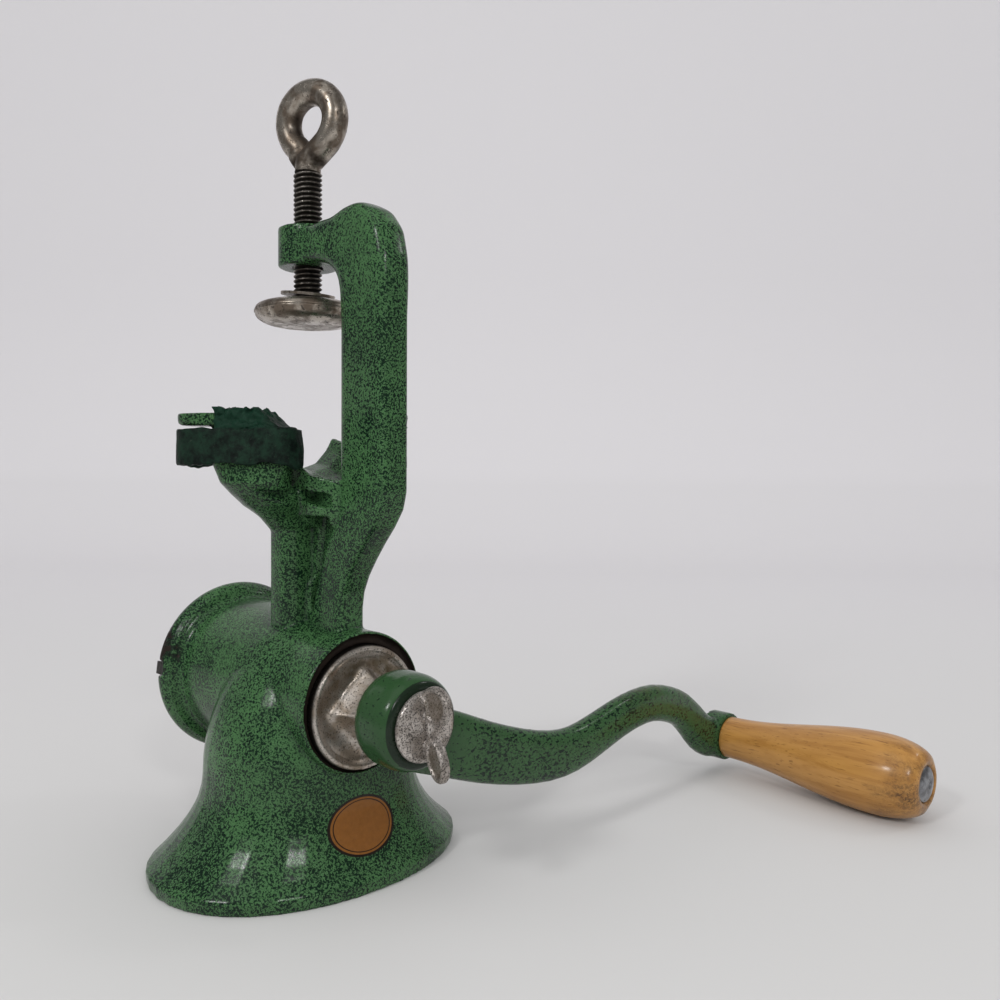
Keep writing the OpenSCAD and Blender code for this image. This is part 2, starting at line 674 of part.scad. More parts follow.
// Lower dish of the swivel cap, whose flat face presses on the table
module cap_dish() {
    color(tin) translate([-screw_x, 0, 0]) rotate_extrude()
        polygon(concat([[0, cap_z]],
            [for (a = [0:10:80]) [cap_r * 0.4 + cap_r * 0.6 * sin(a), cap_z + dish_h * (1 - cos(a))]],
            [[cap_r, rim_z], [cap_r - sheet_t, rim_z]],
            [for (a = [80:-10:0]) [(cap_r - sheet_t) * (0.4 + 0.6 * sin(a)),
                cap_z + sheet_t + (dish_h - sheet_t) * (1 - cos(a))]],
            [[0, cap_z + sheet_t]]));
}

// Upper shell of the swivel cap, with a hole round the clamp screw
module cap_shell() {
    hole = rod_r + seat_gap;
    color(tin) translate([-screw_x, 0, 0]) rotate_extrude()
        polygon(concat([[cap_r - sheet_t, rim_z], [cap_r, rim_z]],
            [for (u = [0.25:0.25:1]) [blend(cap_r, hole, u), rim_z + shell_h * ease(pow(u, 0.6))]],
            [for (u = [1:-0.25:0.25])
                [blend(cap_r, hole, u), rim_z + shell_h * ease(pow(u, 0.6)) - sheet_t * u]]));
}

// Loose plate between the screw's shoulder and the cap, lying askew
module cap_washer() {
    color(tin) translate([-screw_x, 0, cap_top + 1]) rotate([0, 7, 0]) difference() {
        cylinder(r = 9, h = 0.9);
        translate([0, 0, -1]) cylinder(r = rod_r + 2 * seat_gap, h = 3);
    }
}

// Rubber shoe of a table pad: a wall round the foot's neck, and what is left over the foot
module pad(side) {
    bare = 0.36 * pad_len;
    color(rubber) on_pad(side) difference() {
        union() {
            translate([0, 0, pad_z]) linear_extrude(pad_h) slot_shape(pad_len, pad_w);
            translate([0, 0, pad_z + pad_h - eps]) linear_extrude(pad_top - pad_z - pad_h + eps)
                intersection() {
                    slot_shape(pad_len - 3, pad_w - 1);
                    translate([bare - pad_len / 2, -pad_w]) square([pad_len, 2 * pad_w]);
                }
        }
        translate([0, 0, pad_z - 1]) linear_extrude(foot_top - pad_z)
            slot_shape(pad_len - pad_w + foot_w + 2 * seat_gap, foot_w + 2 * seat_gap);
        translate([0, 0, foot_top - foot_t - seat_gap])
            linear_extrude(foot_t + seat_gap) foot_shape(seat_gap);
    }
}

module near_pad() {
    pad(-1);
}

module far_pad() {
    pad(1);
}

casting();
feed_screw();
cutter();
mincing_plate();
plate_nut();
crank_arm();
thumb_screw();
handle_spindle();
wood_handle();
clamp_screw();
cap_shell();
cap_dish();
cap_washer();
near_pad();
far_pad();
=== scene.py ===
import json
from math import cos, pi, radians, sin, sqrt

import bmesh
import bpy
import numpy as np
from mathutils import Matrix, Vector, noise


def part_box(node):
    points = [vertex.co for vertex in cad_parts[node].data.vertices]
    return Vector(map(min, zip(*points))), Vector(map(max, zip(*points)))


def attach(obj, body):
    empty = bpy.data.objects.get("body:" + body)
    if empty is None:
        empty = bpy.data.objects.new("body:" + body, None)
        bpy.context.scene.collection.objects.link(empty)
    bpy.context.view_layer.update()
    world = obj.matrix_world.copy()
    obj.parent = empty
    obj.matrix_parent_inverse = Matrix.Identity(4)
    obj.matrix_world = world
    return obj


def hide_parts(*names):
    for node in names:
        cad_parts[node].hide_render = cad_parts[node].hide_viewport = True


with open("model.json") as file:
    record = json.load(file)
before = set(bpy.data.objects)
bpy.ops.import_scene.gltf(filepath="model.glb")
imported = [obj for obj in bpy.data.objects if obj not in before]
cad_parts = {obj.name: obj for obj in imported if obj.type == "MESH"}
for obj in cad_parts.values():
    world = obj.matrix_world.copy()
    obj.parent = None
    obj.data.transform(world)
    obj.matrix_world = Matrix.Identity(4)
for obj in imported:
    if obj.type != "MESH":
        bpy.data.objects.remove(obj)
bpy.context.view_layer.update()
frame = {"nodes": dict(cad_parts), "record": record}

mm = 0.001
nodes = frame["nodes"]
joints = {joint["name"]: joint for joint in frame["record"]["behaviour"]["joints"]}
shaftZ = joints["crank_turn"]["pos_m"][2]          # height of the feed screw's line
handleLine = joints["handle_turn"]["pos_m"]        # a point on the handle's line
clampLine = joints["clamp_turn"]["pos_m"]          # a point on the clamp screw's line


# meshes

def newObject(name, data):
    obj = bpy.data.objects.new(name, data)
    bpy.context.scene.collection.objects.link(obj)
    return obj


def newPiece(name, verts, faces):
    mesh = bpy.data.meshes.new(name)
    mesh.from_pydata([tuple(v) for v in verts], [], faces)
    mesh.validate()
    mesh.shade_smooth()
    return newObject(name, mesh)


def copyOfNode(node, name):
    obj = newObject(name, nodes[node].data.copy())
    obj.data.materials.clear()
    return obj


def applyModifiers(obj):
    # turns the modified shape into the piece's own mesh
    graph = bpy.context.evaluated_depsgraph_get()
    mesh = bpy.data.meshes.new_from_object(obj.evaluated_get(graph))
    obj.modifiers.clear()
    obj.data = mesh
    mesh.shade_smooth()
    return obj


def smoothed(obj, passes, group=""):
    # where a vertex group is named, its weights say how much each point moves
    smooth = obj.modifiers.new("fillets", "SMOOTH")
    smooth.factor = 0.5
    smooth.iterations = passes
    smooth.vertex_group = group
    return applyModifiers(obj)


def softCasting(obj, shape):
    # one closed skin with small cast fillets where its forms meet
    remesh = obj.modifiers.new("skin", "REMESH")
    remesh.mode = "VOXEL"
    remesh.voxel_size = shape["voxel"]
    return smoothed(obj, shape["passes"])


def cutWith(obj, cutters):
    for cutter in cutters:
        cut = obj.modifiers.new("cut", "BOOLEAN")
        cut.operation = "DIFFERENCE"
        cut.solver = "EXACT"
        cut.object = cutter
    applyModifiers(obj)
    for cutter in cutters:
        bpy.data.objects.remove(cutter)


def joinPieces(name, pieces):
    bm = bmesh.new()
    for piece in pieces:
        bm.from_mesh(piece.data)
        bpy.data.objects.remove(piece)
    mesh = bpy.data.meshes.new(name)
    bm.to_mesh(mesh)
    bm.free()
    mesh.shade_smooth()
    return newObject(name, mesh)


def ringsPiece(name, rings, closed=False):
    # skin over rings of points; its ends are capped unless the rings close on themselves
    steps = len(rings[0])
    verts = [point for ring in rings for point in ring]
    faces = []
    for i in range(len(rings) if closed else len(rings) - 1):
        j = (i + 1) % len(rings)
        for k in range(steps):
            n = (k + 1) % steps
            faces.append((i * steps + k, i * steps + n, j * steps + n, j * steps + k))
    if not closed:
        last = (len(rings) - 1) * steps
        faces.append(tuple(range(steps - 1, -1, -1)))
        faces.append(tuple(last + k for k in range(steps)))
    return newPiece(name, verts, faces)


def circleAt(centre, side, other, radius, steps):
    return [centre + (side * cos(2 * pi * k / steps) + other * sin(2 * pi * k / steps)) * radius
            for k in range(steps)]


def turnedPiece(name, profile, start, along=(1, 0, 0), steps=96, hollow=False):
    # turns a profile of (radius, distance) pairs about a line
    along, start = Vector(along).normalized(), Vector(start)
    side = Vector((0, 0, 1)) if abs(along.z) < 0.9 else Vector((1, 0, 0))
    other = along.cross(side)
    return ringsPiece(name, [circleAt(start + along * d, side, other, r, steps) for r, d in profile], hollow)


def cylinderAt(start, end, radius):
    start, end = Vector(start), Vector(end)
    return turnedPiece("cutter", [(radius, 0), (radius, (end - start).length)], start, end - start)


def sweptTube(name, path, radii, steps=32):
    # round bar along a path of points; its frame is carried along without twist
    last = len(path) - 1
    rings = []
    side = None
    for i, point in enumerate(path):
        ahead = (path[min(i + 1, last)] - path[max(i - 1, 0)]).normalized()
        side = ahead.orthogonal() if side is None else side - ahead * side.dot(ahead)
        side.normalize()
        rings.append(circleAt(point, side, ahead.cross(side), radii[i], steps))
    return ringsPiece(name, rings)


def splineThrough(points, perSpan=8):
    # smooth curve through a few given points
    points = [Vector(p) for p in points]
    ends = [points[0] * 2 - points[1]] + points + [points[-1] * 2 - points[-2]]
    curve = []
    for i in range(1, len(ends) - 2):
        a, b, c, d = ends[i - 1:i + 3]
        for k in range(perSpan):
            t = k / perSpan
            curve.append(0.5 * (b * 2 + (c - a) * t + (a * 2 - b * 5 + c * 4 - d) * t * t
                                + (b * 3 - a - c * 3 + d) * t * t * t))
    return curve + [points[-1]]


def vertexArray(obj, what="co"):
    data = np.empty(len(obj.data.vertices) * 3)
    obj.data.vertices.foreach_get(what, data)
    return data.reshape(-1, 3)


def storeVertices(obj, points):
    obj.data.vertices.foreach_set("co", np.asarray(points).ravel())
    obj.data.update()


def storeMask(obj, name, values):
    layer = obj.data.attributes.new(name, "FLOAT", "POINT")
    layer.data.foreach_set("value", np.clip(values, 0, 1).astype(np.float32))


def ramp(value, low, high):
    return np.clip((value - low) / (high - low), 0, 1)


def easeBetween(a, b, share):
    share = min(1, max(0, share))
    return a + (b - a) * (1 - cos(pi * share)) / 2


def roughness(points, perMetre, octaves=4, where=None, shift=0.0):
    # fractal noise, about -1 to 1, at the points named by the mask
    values = np.zeros(len(points))
    offset = Vector((shift, shift, shift))
    for i in range(len(points)) if where is None else np.nonzero(where)[0]:
        values[i] = noise.fractal((Vector(points[i]) + offset) * perMetre, 0.8, 2.0, octaves)
    return values


def hollows(obj, spread, depth):
    # 1 in creases and narrow hollows, 0 on open or convex faces
    count = len(obj.data.vertices)
    edges = np.empty(len(obj.data.edges) * 2, dtype=int)
    obj.data.edges.foreach_get("vertices", edges)
    a, b = edges.reshape(-1, 2).T
    ends, others = np.concatenate((a, b)), np.concatenate((b, a))
    degree = np.bincount(ends, minlength=count).clip(1)
    start = vertexArray(obj)
    smooth = start.copy()
    for _ in range(spread):
        smooth = np.stack([np.bincount(ends, smooth[others, k], count) / degree for k in range(3)], axis=1)
    return ramp(((smooth - start) * vertexArray(obj, "normal")).sum(axis=1), 0, depth)


# shader nodes

def startMaterial(name):
    material = bpy.data.materials.new(name)
    material.use_nodes = True
    tree = material.node_tree
    return material, tree, tree.nodes["Principled BSDF"]


def addNode(tree, kind, **values):
    node = tree.nodes.new(kind)
    for key, value in values.items():
        setattr(node, key, value)
    return node


def feed(tree, socket, value):
    # a socket takes a number, a colour, a vector or another socket
    if isinstance(value, bpy.types.NodeSocket):
        tree.links.new(value, socket)
    elif isinstance(value, (tuple, list)):
        socket.default_value = (*value[:3], 1) if len(socket.default_value) == 4 else value
    else:
        socket.default_value = value


def feedAll(tree, node, values):
    for label, value in values.items():
        feed(tree, node.inputs[label], value)
    return node


def mathNode(tree, operation, a, b=0.0, clamp=False):
    node = addNode(tree, "ShaderNodeMath", operation=operation, use_clamp=clamp)
    return feedAll(tree, node, {0: a, 1: b}).outputs[0]


def times(tree, a, b):
    return mathNode(tree, "MULTIPLY", a, b)


def vectorNode(tree, operation, a, b=(0, 0, 0)):
    node = addNode(tree, "ShaderNodeVectorMath", operation=operation)
    feedAll(tree, node, {0: a, 1: b})
    return node.outputs["Value" if operation in ("LENGTH", "DOT_PRODUCT") else "Vector"]


def mapRange(tree, value, low, high, toLow=0.0, toHigh=1.0):
    node = addNode(tree, "ShaderNodeMapRange", interpolation_type="SMOOTHSTEP")
    return feedAll(tree, node, {"Value": value, "From Min": low, "From Max": high,
                                "To Min": toLow, "To Max": toHigh}).outputs[0]


def mixColour(tree, share, a, b):
    node = addNode(tree, "ShaderNodeMix", data_type="RGBA")
    return feedAll(tree, node, {0: share, 6: a, 7: b}).outputs[2]


def mixValue(tree, share, a, b):
    node = addNode(tree, "ShaderNodeMix", data_type="FLOAT")
    return feedAll(tree, node, {0: share, 2: a, 3: b}).outputs[0]


def noiseTexture(tree, vector, scale, detail=2.0, rough=0.5, distortion=0.0):
    node = addNode(tree, "ShaderNodeTexNoise", noise_dimensions="3D")
    return feedAll(tree, node, {"Vector": vector, "Scale": scale, "Detail": detail, "Roughness": rough,
                                "Distortion": distortion}).outputs["Fac"]


def stretched(tree, vector, scale):
    return feedAll(tree, addNode(tree, "ShaderNodeMapping"), {"Vector": vector, "Scale": scale}).outputs[0]


def startGroup(name, inputs, outputs):
    group = bpy.data.node_groups.new(name, "ShaderNodeTree")
    for label, kind, value in inputs:
        socket = group.interface.new_socket(label, in_out="INPUT", socket_type=kind)
        if value is not None:
            socket.default_value = value
    for label in outputs:
        group.interface.new_socket(label, in_out="OUTPUT", socket_type="NodeSocketFloat")
    return group, group.nodes.new("NodeGroupInput").outputs, group.nodes.new("NodeGroupOutput").inputs


def useGroup(tree, group, values):
    return feedAll(tree, addNode(tree, "ShaderNodeGroup", node_tree=group), values).outputs


def objectPlace(tree):
    return addNode(tree, "ShaderNodeTexCoord").outputs["Object"]


def maskOf(tree, name):
    return addNode(tree, "ShaderNodeAttribute", attribute_name=name).outputs["Fac"]


def bumpFrom(tree, height, distance, strength):
    values = {"Distance": distance, "Strength": strength, "Height": height}
    return feedAll(tree, addNode(tree, "ShaderNodeBump"), values).outputs["Normal"]


# effects shared by several materials

def flecksGroup():
    # dense mottling of small dark flecks, gathered more in some places than in others
    group, given, result = startGroup(
        "enamelFlecks",
        [("Vector", "NodeSocketVector", None), ("Fleck size", "NodeSocketFloat", 1.5),
         ("Cover", "NodeSocketFloat", 0.5), ("Stretch", "NodeSocketVector", (1, 1, 1))],
        ["Mask", "Fine"])
    pulled = vectorNode(group, "MULTIPLY", given["Vector"], given["Stretch"])
    scale = mathNode(group, "DIVIDE", 1000.0, given["Fleck size"])
    coarse = noiseTexture(group, pulled, scale, 3.0, 0.6, 0.35)
    fine = noiseTexture(group, pulled, times(group, scale, 2.3), 2.0, 0.6, 0.2)
    patches = noiseTexture(group, given["Vector"], 60.0, 3.0, 0.6)
    drift = times(group, mathNode(group, "SUBTRACT", 0.5, patches), 0.24)
    cover = mathNode(group, "SUBTRACT", 0.66, times(group, given["Cover"], 0.3))
    edge = mathNode(group, "ADD", drift, cover)
    big = mapRange(group, coarse, edge, mathNode(group, "ADD", edge, 0.022))
    fineEdge = mathNode(group, "ADD", edge, 0.05)
    small = mapRange(group, fine, fineEdge, mathNode(group, "ADD", fineEdge, 0.03))
    feed(group, result["Mask"], mathNode(group, "MAXIMUM", big, times(group, small, 0.8)))
    feed(group, result["Fine"], fine)
    return group


def wearGroup():
    # blotches, pits and fine grain of old bare metal
    group, given, result = startGroup(
        "oldMetal",
        [("Vector", "NodeSocketVector", None), ("Blotch size", "NodeSocketFloat", 8.0),
         ("Pit size", "NodeSocketFloat", 1.2), ("Pit share", "NodeSocketFloat", 0.3)],
        ["Blotches", "Pits", "Grain"])
    blotchScale = mathNode(group, "DIVIDE", 1000.0, given["Blotch size"])
    blotches = noiseTexture(group, given["Vector"], blotchScale, 5.0, 0.6, 0.4)
    holeScale = mathNode(group, "DIVIDE", 1000.0, given["Pit size"])
    holes = noiseTexture(group, given["Vector"], holeScale, 3.0, 0.6)
    edge = mathNode(group, "SUBTRACT", 0.72, times(group, given["Pit share"], 0.35))
    feed(group, result["Blotches"], blotches)
    feed(group, result["Pits"], mapRange(group, holes, edge, mathNode(group, "ADD", edge, 0.08)))
    feed(group, result["Grain"], noiseTexture(group, given["Vector"], 2600.0, 2.0, 0.6))
    return group


flecks = flecksGroup()
oldMetal = wearGroup()


# materials

def withBadge(tree, place, colour):
    # an ochre roundel with a dark edge and one thin ring, laid over the enamel
    look, soft = badgeLook, badgeLook["soft"]
    offset = vectorNode(tree, "SUBTRACT", place, look["centre"])
    away = vectorNode(tree, "LENGTH", stretched(tree, offset, look["squeeze"]))
    within = mapRange(tree, away, look["radius"] - soft, look["radius"] + soft, 1.0, 0.0)
    inked = mapRange(tree, away, look["radius"] - look["edge"] - soft, look["radius"] - look["edge"] + soft)
    ring = times(tree, mapRange(tree, away, look["ringFrom"] - soft, look["ringFrom"] + soft),
                    mapRange(tree, away, look["ringTo"] - soft, look["ringTo"] + soft, 1.0, 0.0))
    aged = mixColour(tree, noiseTexture(tree, place, 700.0, 4.0, 0.7), look["ochre"],
                     tuple(c * look["aged"] for c in look["ochre"]))
    paper = mixColour(tree, mathNode(tree, "MAXIMUM", inked, ring), aged, look["ink"])
    return mixColour(tree, times(tree, within, maskOf(tree, "badge")), colour, paper)


def enamelMaterial(name, fleckSize, cover, tone=1.0, stretch=(1, 1, 1)):
    look = dict(pale=(0.056, 0.142, 0.052), deep=(0.003, 0.015, 0.007), stain=(0.048, 0.060, 0.016),
                bare=(0.010, 0.008, 0.007), rust=(0.040, 0.027, 0.020), rim=(0.006, 0.010, 0.007),
                shine=0.15, dull=0.27, bareDull=0.62, gloss=0.27, relief=0.12 * mm)
    material, tree, skin = startMaterial(name)
    place = objectPlace(tree)
    calm = times(tree, maskOf(tree, "calm"), 0.30)
    mottled = useGroup(tree, flecks, {"Vector": place, "Fleck size": fleckSize, "Stretch": stretch,
                                      "Cover": mathNode(tree, "SUBTRACT", cover, calm)})
    drift = noiseTexture(tree, place, 45.0, 3.0, 0.5)
    pale = mixColour(tree, drift, tuple(c * 0.75 * tone for c in look["pale"]),
                     tuple(c * 1.25 * tone for c in look["pale"]))
    colour = mixColour(tree, mottled["Mask"], pale, look["deep"])
    colour = mixColour(tree, calm, colour, look["deep"])
    colour = mixColour(tree, times(tree, maskOf(tree, "stain"), 0.6), colour, look["stain"])
    worn = useGroup(tree, oldMetal, {"Vector": place, "Blotch size": 5.0})
    bare = mapRange(tree, maskOf(tree, "bare"), 0.42, 0.58)
    # painted shade: creases and hollows are darkened towards the deep fleck colour
    colour = mixColour(tree, times(tree, maskOf(tree, "hollow"), 0.75), colour, look["deep"])
    # this mask darkens the casting's chipped rim; on the crank it carries the painted shade in the gap round
    # the thumb screw
    darkened = mapRange(tree, maskOf(tree, "rim"), 0.35, 0.65, 0.0, 0.85)
    colour = mixColour(tree, darkened, colour, look["rim"])
    colour = mixColour(tree, bare, colour, mixColour(tree, worn["Blotches"], look["bare"], look["rust"]))
    colour = withBadge(tree, place, colour)
    glaze = mapRange(tree, mottled["Fine"], 0.2, 0.8, look["shine"], look["dull"])
    ripple = noiseTexture(tree, place, 170.0, 3.0, 0.55)
    height = mathNode(tree, "ADD", ripple, times(tree, mottled["Mask"], 0.14))
    height = mathNode(tree, "SUBTRACT", height, times(tree, bare, 0.9))
    feedAll(tree, skin, {"Base Color": colour, "Roughness": mixValue(tree, bare, glaze, look["bareDull"]),
                         "Metallic": times(tree, bare, 0.5), "Specular IOR Level": look["gloss"],
                         "Normal": bumpFrom(tree, height, look["relief"], 0.9)})
    return material


def metalMaterial(name, bright, stain, pits, pitSize, blotch, shine, dull, relief=0.06,
                  pitColour=(0.020, 0.017, 0.014)):
    metallic, grease = 0.95, (0.13, 0.095, 0.05)
    material, tree, skin = startMaterial(name)
    worn = useGroup(tree, oldMetal, {"Vector": objectPlace(tree), "Blotch size": blotch,
                                     "Pit size": pitSize, "Pit share": pits})
    colour = mixColour(tree, mapRange(tree, worn["Blotches"], 0.38, 0.62), bright, stain)
    colour = mixColour(tree, times(tree, worn["Pits"], 0.85), colour, pitColour)
    colour = mixColour(tree, times(tree, maskOf(tree, "stain"), 0.8), colour, grease)
    # this mask darkens dirt and painted shade alike, such as the painted shade in the thread's roots
    colour = mixColour(tree, maskOf(tree, "grime"), colour, pitColour)
    polish = mapRange(tree, worn["Blotches"], 0.3, 0.7, shine, dull)
    rough = mathNode(tree, "ADD", polish, times(tree, worn["Pits"], 0.2), clamp=True)
    height = mathNode(tree, "SUBTRACT", times(tree, worn["Grain"], 0.25), worn["Pits"])
    feedAll(tree, skin, {"Base Color": colour,
                         "Roughness": mixValue(tree, maskOf(tree, "grime"), rough, 0.7),
                         "Metallic": mathNode(tree, "SUBTRACT", metallic, times(tree, worn["Pits"], 0.5)),
                         "Normal": bumpFrom(tree, height, relief * mm, 0.9)})
    return material


metalLooks = dict(
    tinnedIron=dict(bright=(0.60, 0.55, 0.50), stain=(0.34, 0.28, 0.22), pits=0.46, pitSize=0.55, blotch=7.0,
                    shine=0.30, dull=0.48),
    pittedTin=dict(bright=(0.64, 0.59, 0.55), stain=(0.38, 0.34, 0.305), pits=0.60, pitSize=0.48, blotch=5.0,
                   shine=0.32, dull=0.5, relief=0.08),
    tarnishedNickel=dict(bright=(0.45, 0.405, 0.35), stain=(0.17, 0.135, 0.105), pits=0.42, pitSize=1.4,
                         blotch=6.0, shine=0.20, dull=0.44, relief=0.03, pitColour=(0.045, 0.034, 0.026)),
    blackenedThread=dict(bright=(0.30, 0.275, 0.25), stain=(0.10, 0.088, 0.076), pits=0.35, pitSize=1.0,
                         blotch=3.0, shine=0.22, dull=0.42, relief=0.02),
    dullSteel=dict(bright=(0.30, 0.30, 0.30), stain=(0.16, 0.15, 0.14), pits=0.3, pitSize=1.4, blotch=6.0,
                   shine=0.3, dull=0.5, relief=0.04),
    rivetSteel=dict(bright=(0.34, 0.35, 0.37), stain=(0.20, 0.20, 0.21), pits=0.25, pitSize=0.8, blotch=3.0,
                    shine=0.3, dull=0.42, relief=0.03),
    greasySteel=dict(bright=(0.050, 0.046, 0.042), stain=(0.022, 0.018, 0.016), pits=0.3, pitSize=1.4,
                     blotch=6.0, shine=0.35, dull=0.55, relief=0.04))


def woodMaterial():
    look = dict(pale=(0.475, 0.240, 0.060), grain=(0.34, 0.150, 0.028), streak=(0.17, 0.068, 0.014),
                grime=(0.050, 0.022, 0.009), shine=0.30, dull=0.44, gloss=0.35, varnish=0.3,
                varnishDull=0.16, relief=0.03 * mm)
    material, tree, skin = startMaterial("varnishedBeech")
    place = objectPlace(tree)
    rings = noiseTexture(tree, stretched(tree, place, (0.06, 1, 1)), 260.0, 4.0, 0.6, 0.6)
    fibres = noiseTexture(tree, stretched(tree, place, (0.035, 1, 1)), 1400.0, 3.0, 0.6)
    rays = noiseTexture(tree, stretched(tree, place, (0.10, 1, 1)), 1500.0, 2.0, 0.5)
    colour = mixColour(tree, mapRange(tree, rings, 0.35, 0.70, 0.0, 0.85), look["pale"], look["grain"])
    colour = mixColour(tree, mapRange(tree, fibres, 0.55, 0.75, 0.0, 0.55), colour, look["grain"])
    colour = mixColour(tree, mapRange(tree, rays, 0.62, 0.70, 0.0, 0.6), colour, look["streak"])
    specks = mapRange(tree, noiseTexture(tree, place, 1100.0, 4.0, 0.7), 0.40, 0.60, 0.35, 1.0)
    # this darkening carries grime and the painted shade on the handle's underside
    colour = mixColour(tree, times(tree, maskOf(tree, "grime"), specks), colour, look["grime"])
    feedAll(tree, skin, {"Base Color": colour, "Specular IOR Level": look["gloss"],
                         "Roughness": mapRange(tree, rings, 0.3, 0.7, look["shine"], look["dull"]),
                         "Coat Weight": look["varnish"], "Coat Roughness": look["varnishDull"],
                         "Normal": bumpFrom(tree, fibres, look["relief"], 0.5)})
    return material


def rubberMaterial():
    look = dict(dark=(0.001, 0.004, 0.003), green=(0.008, 0.028, 0.016), crumbDark=(0.002, 0.014, 0.008),
                crumbPale=(0.009, 0.046, 0.025), dust=(0.060, 0.085, 0.062), shine=0.40, dull=0.7, gloss=0.14,
                relief=0.35 * mm)
    material, tree, skin = startMaterial("perishedRubber")
    place = objectPlace(tree)
    blotches = noiseTexture(tree, place, 260.0, 6.0, 0.72)
    crumbs = noiseTexture(tree, place, 900.0, 4.0, 0.7)
    colour = mixColour(tree, mapRange(tree, blotches, 0.35, 0.65), look["dark"], look["green"])
    crumbled = mapRange(tree, maskOf(tree, "crumb"), 0.2, 0.9)
    colour = mixColour(tree, crumbled, colour, mixColour(tree, crumbs, look["crumbDark"], look["crumbPale"]))
    colour = mixColour(tree, mapRange(tree, crumbs, 0.62, 0.74, 0.0, 0.5), colour, look["dust"])
    feedAll(tree, skin, {"Base Color": colour, "Specular IOR Level": look["gloss"],
                         "Roughness": mapRange(tree, blotches, 0.3, 0.7, look["shine"], look["dull"]),
                         "Normal": bumpFrom(tree, crumbs, look["relief"], 0.7)})
    return material


def ownPiece(obj, node, body, material):
    # the piece stands in for the node, moves with the body and carries the material
    obj.data.materials.append(material)
    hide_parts(node)
    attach(obj, body)
    print("%s: %d points" % (obj.name, len(obj.data.vertices)))


# casting

# a pad's mound: its length and turn, the top of the wall it stands on, and where it rises and runs down
moundShape = dict(length=39.8 * mm, turn=40.0, wallTop=10.5 * mm, slopeFrom=0.72, slopeTo=0.88, least=0.08,
                  riseFrom=0.19, riseTo=0.36, start=0.60, most=0.80)
padSides = dict(near_pad=-1, far_pad=1)


def moundPlace(points, node):
    # share of the way along a pad, height over its wall, and share of the mound's height left there
    shape = moundShape
    low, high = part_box(node)
    turn, middle = radians(shape["turn"]), (Vector(low) + Vector(high)) / 2
    x, y = points[:, 0] - middle.x, (points[:, 1] - middle.y) * padSides[node]
    along = (x * cos(turn) - y * sin(turn)) / shape["length"] + 0.5
    across = np.abs(x * sin(turn) + y * cos(turn))
    slope = shape["most"] * (1 - ramp(along, shape["slopeFrom"], shape["slopeTo"]) * (1 - shape["least"]))
    slope *= shape["start"] + (1 - shape["start"]) * ramp(along, shape["riseFrom"], shape["riseTo"])
    return along, across, points[:, 2] - low[2] - shape["wallTop"], slope


def moundHeight(node):
    low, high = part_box(node)
    return high[2] - low[2] - moundShape["wallTop"]


castingShape = dict(
    voxel=0.55 * mm, passes=5,
    rearX=32 * mm, recessRadius=21.6 * mm, recessDepth=1.6 * mm, recessLift=1.3 * mm,
    journalRadius=19.68 * mm, boreRadius=20.2 * mm, seatRadius=27.15 * mm, seatDepth=5.6 * mm,
    screwHole=4.95 * mm, lugAngle=7.0, lugWidth=5.4 * mm, chipAngle=20.0, rimInside=24 * mm,
    headFrom=176 * mm, headTo=188 * mm, bossFrom=11 * mm, bossTo=17 * mm, headPasses=70, headSwell=0.7 * mm)
# the feet inside the pads: the band over the wall where they lie, and how far the rubber covers them
footShape = dict(lowest=-1 * mm, highest=9 * mm, halfWidth=9 * mm, cover=1.6 * mm, bareFrom=0.16, bareTo=0.24,
                 bareWidth=12 * mm, share=0.6)
# hollows cast into the web between strut and leg, in millimetres: the y each reaches, its corners in x and z
webPockets = ((-1.4, ((12.0, 115.2), (22.0, 115.2), (17.8, 104.0), (12.8, 92.0), (10.6, 84.0), (8.6, 84.0),
                      (9.6, 100.0))),
              (-6.2, ((12.0, 124.0), (23.6, 122.4), (24.0, 117.6), (19.0, 118.4), (13.0, 120.6))))
# the roundel on the hopper, without any lettering
badgeLook = dict(centre=(33.7 * mm, -1.6 * mm, 18.6 * mm), normal=(0.94, -0.05, 0.35),
                 squeeze=(0.9, 0.76, 1.04), radius=9.4 * mm, edge=0.75 * mm, ringFrom=7.75 * mm,
                 ringTo=8.05 * mm, soft=0.08 * mm, ochre=(0.25, 0.098, 0.020), ink=(0.012, 0.008, 0.005),
                 aged=0.55)
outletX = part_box("casting")[0][0]


def makeCasting():
    shape = castingShape
    solid = copyOfNode("casting", "enamelledCasting")
    cutWith(solid, [pocketCutter(inner, corners) for inner, corners in webPockets])
    casting = softCasting(solid, shape)
    lowerFeet(casting)
    roundForms(casting)
    rear, top = shape["rearX"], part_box("casting")[1][2]
    middle = shaftZ + shape["recessLift"]
    recessEnd, seatEnd = rear - shape["recessDepth"], outletX + shape["seatDepth"]
    cutWith(casting, [
        cylinderAt((recessEnd, 0, middle), (rear + 6 * mm, 0, middle), shape["recessRadius"]),
        cylinderAt((rear - 9 * mm, 0, shaftZ), (rear + 2 * mm, 0, shaftZ), shape["journalRadius"]),
        cylinderAt((outletX - 2 * mm, 0, shaftZ), (seatEnd, 0, shaftZ), shape["seatRadius"]),
        cylinderAt((clampLine[0], 0, top - 20 * mm), (clampLine[0], 0, top + 2 * mm), shape["screwHole"]),
        notchCutter()])
    paintCasting(casting)
    enamel = enamelMaterial("speckledEnamel", fleckSize=0.66, cover=0.52, tone=0.95)
    ownPiece(casting, "casting", "mincer", enamel)


def pocketCutter(inner, corners):
    return ringsPiece("cutter", [[Vector((x, y, z)) * mm for x, z in corners] for y in (-30, inner)])


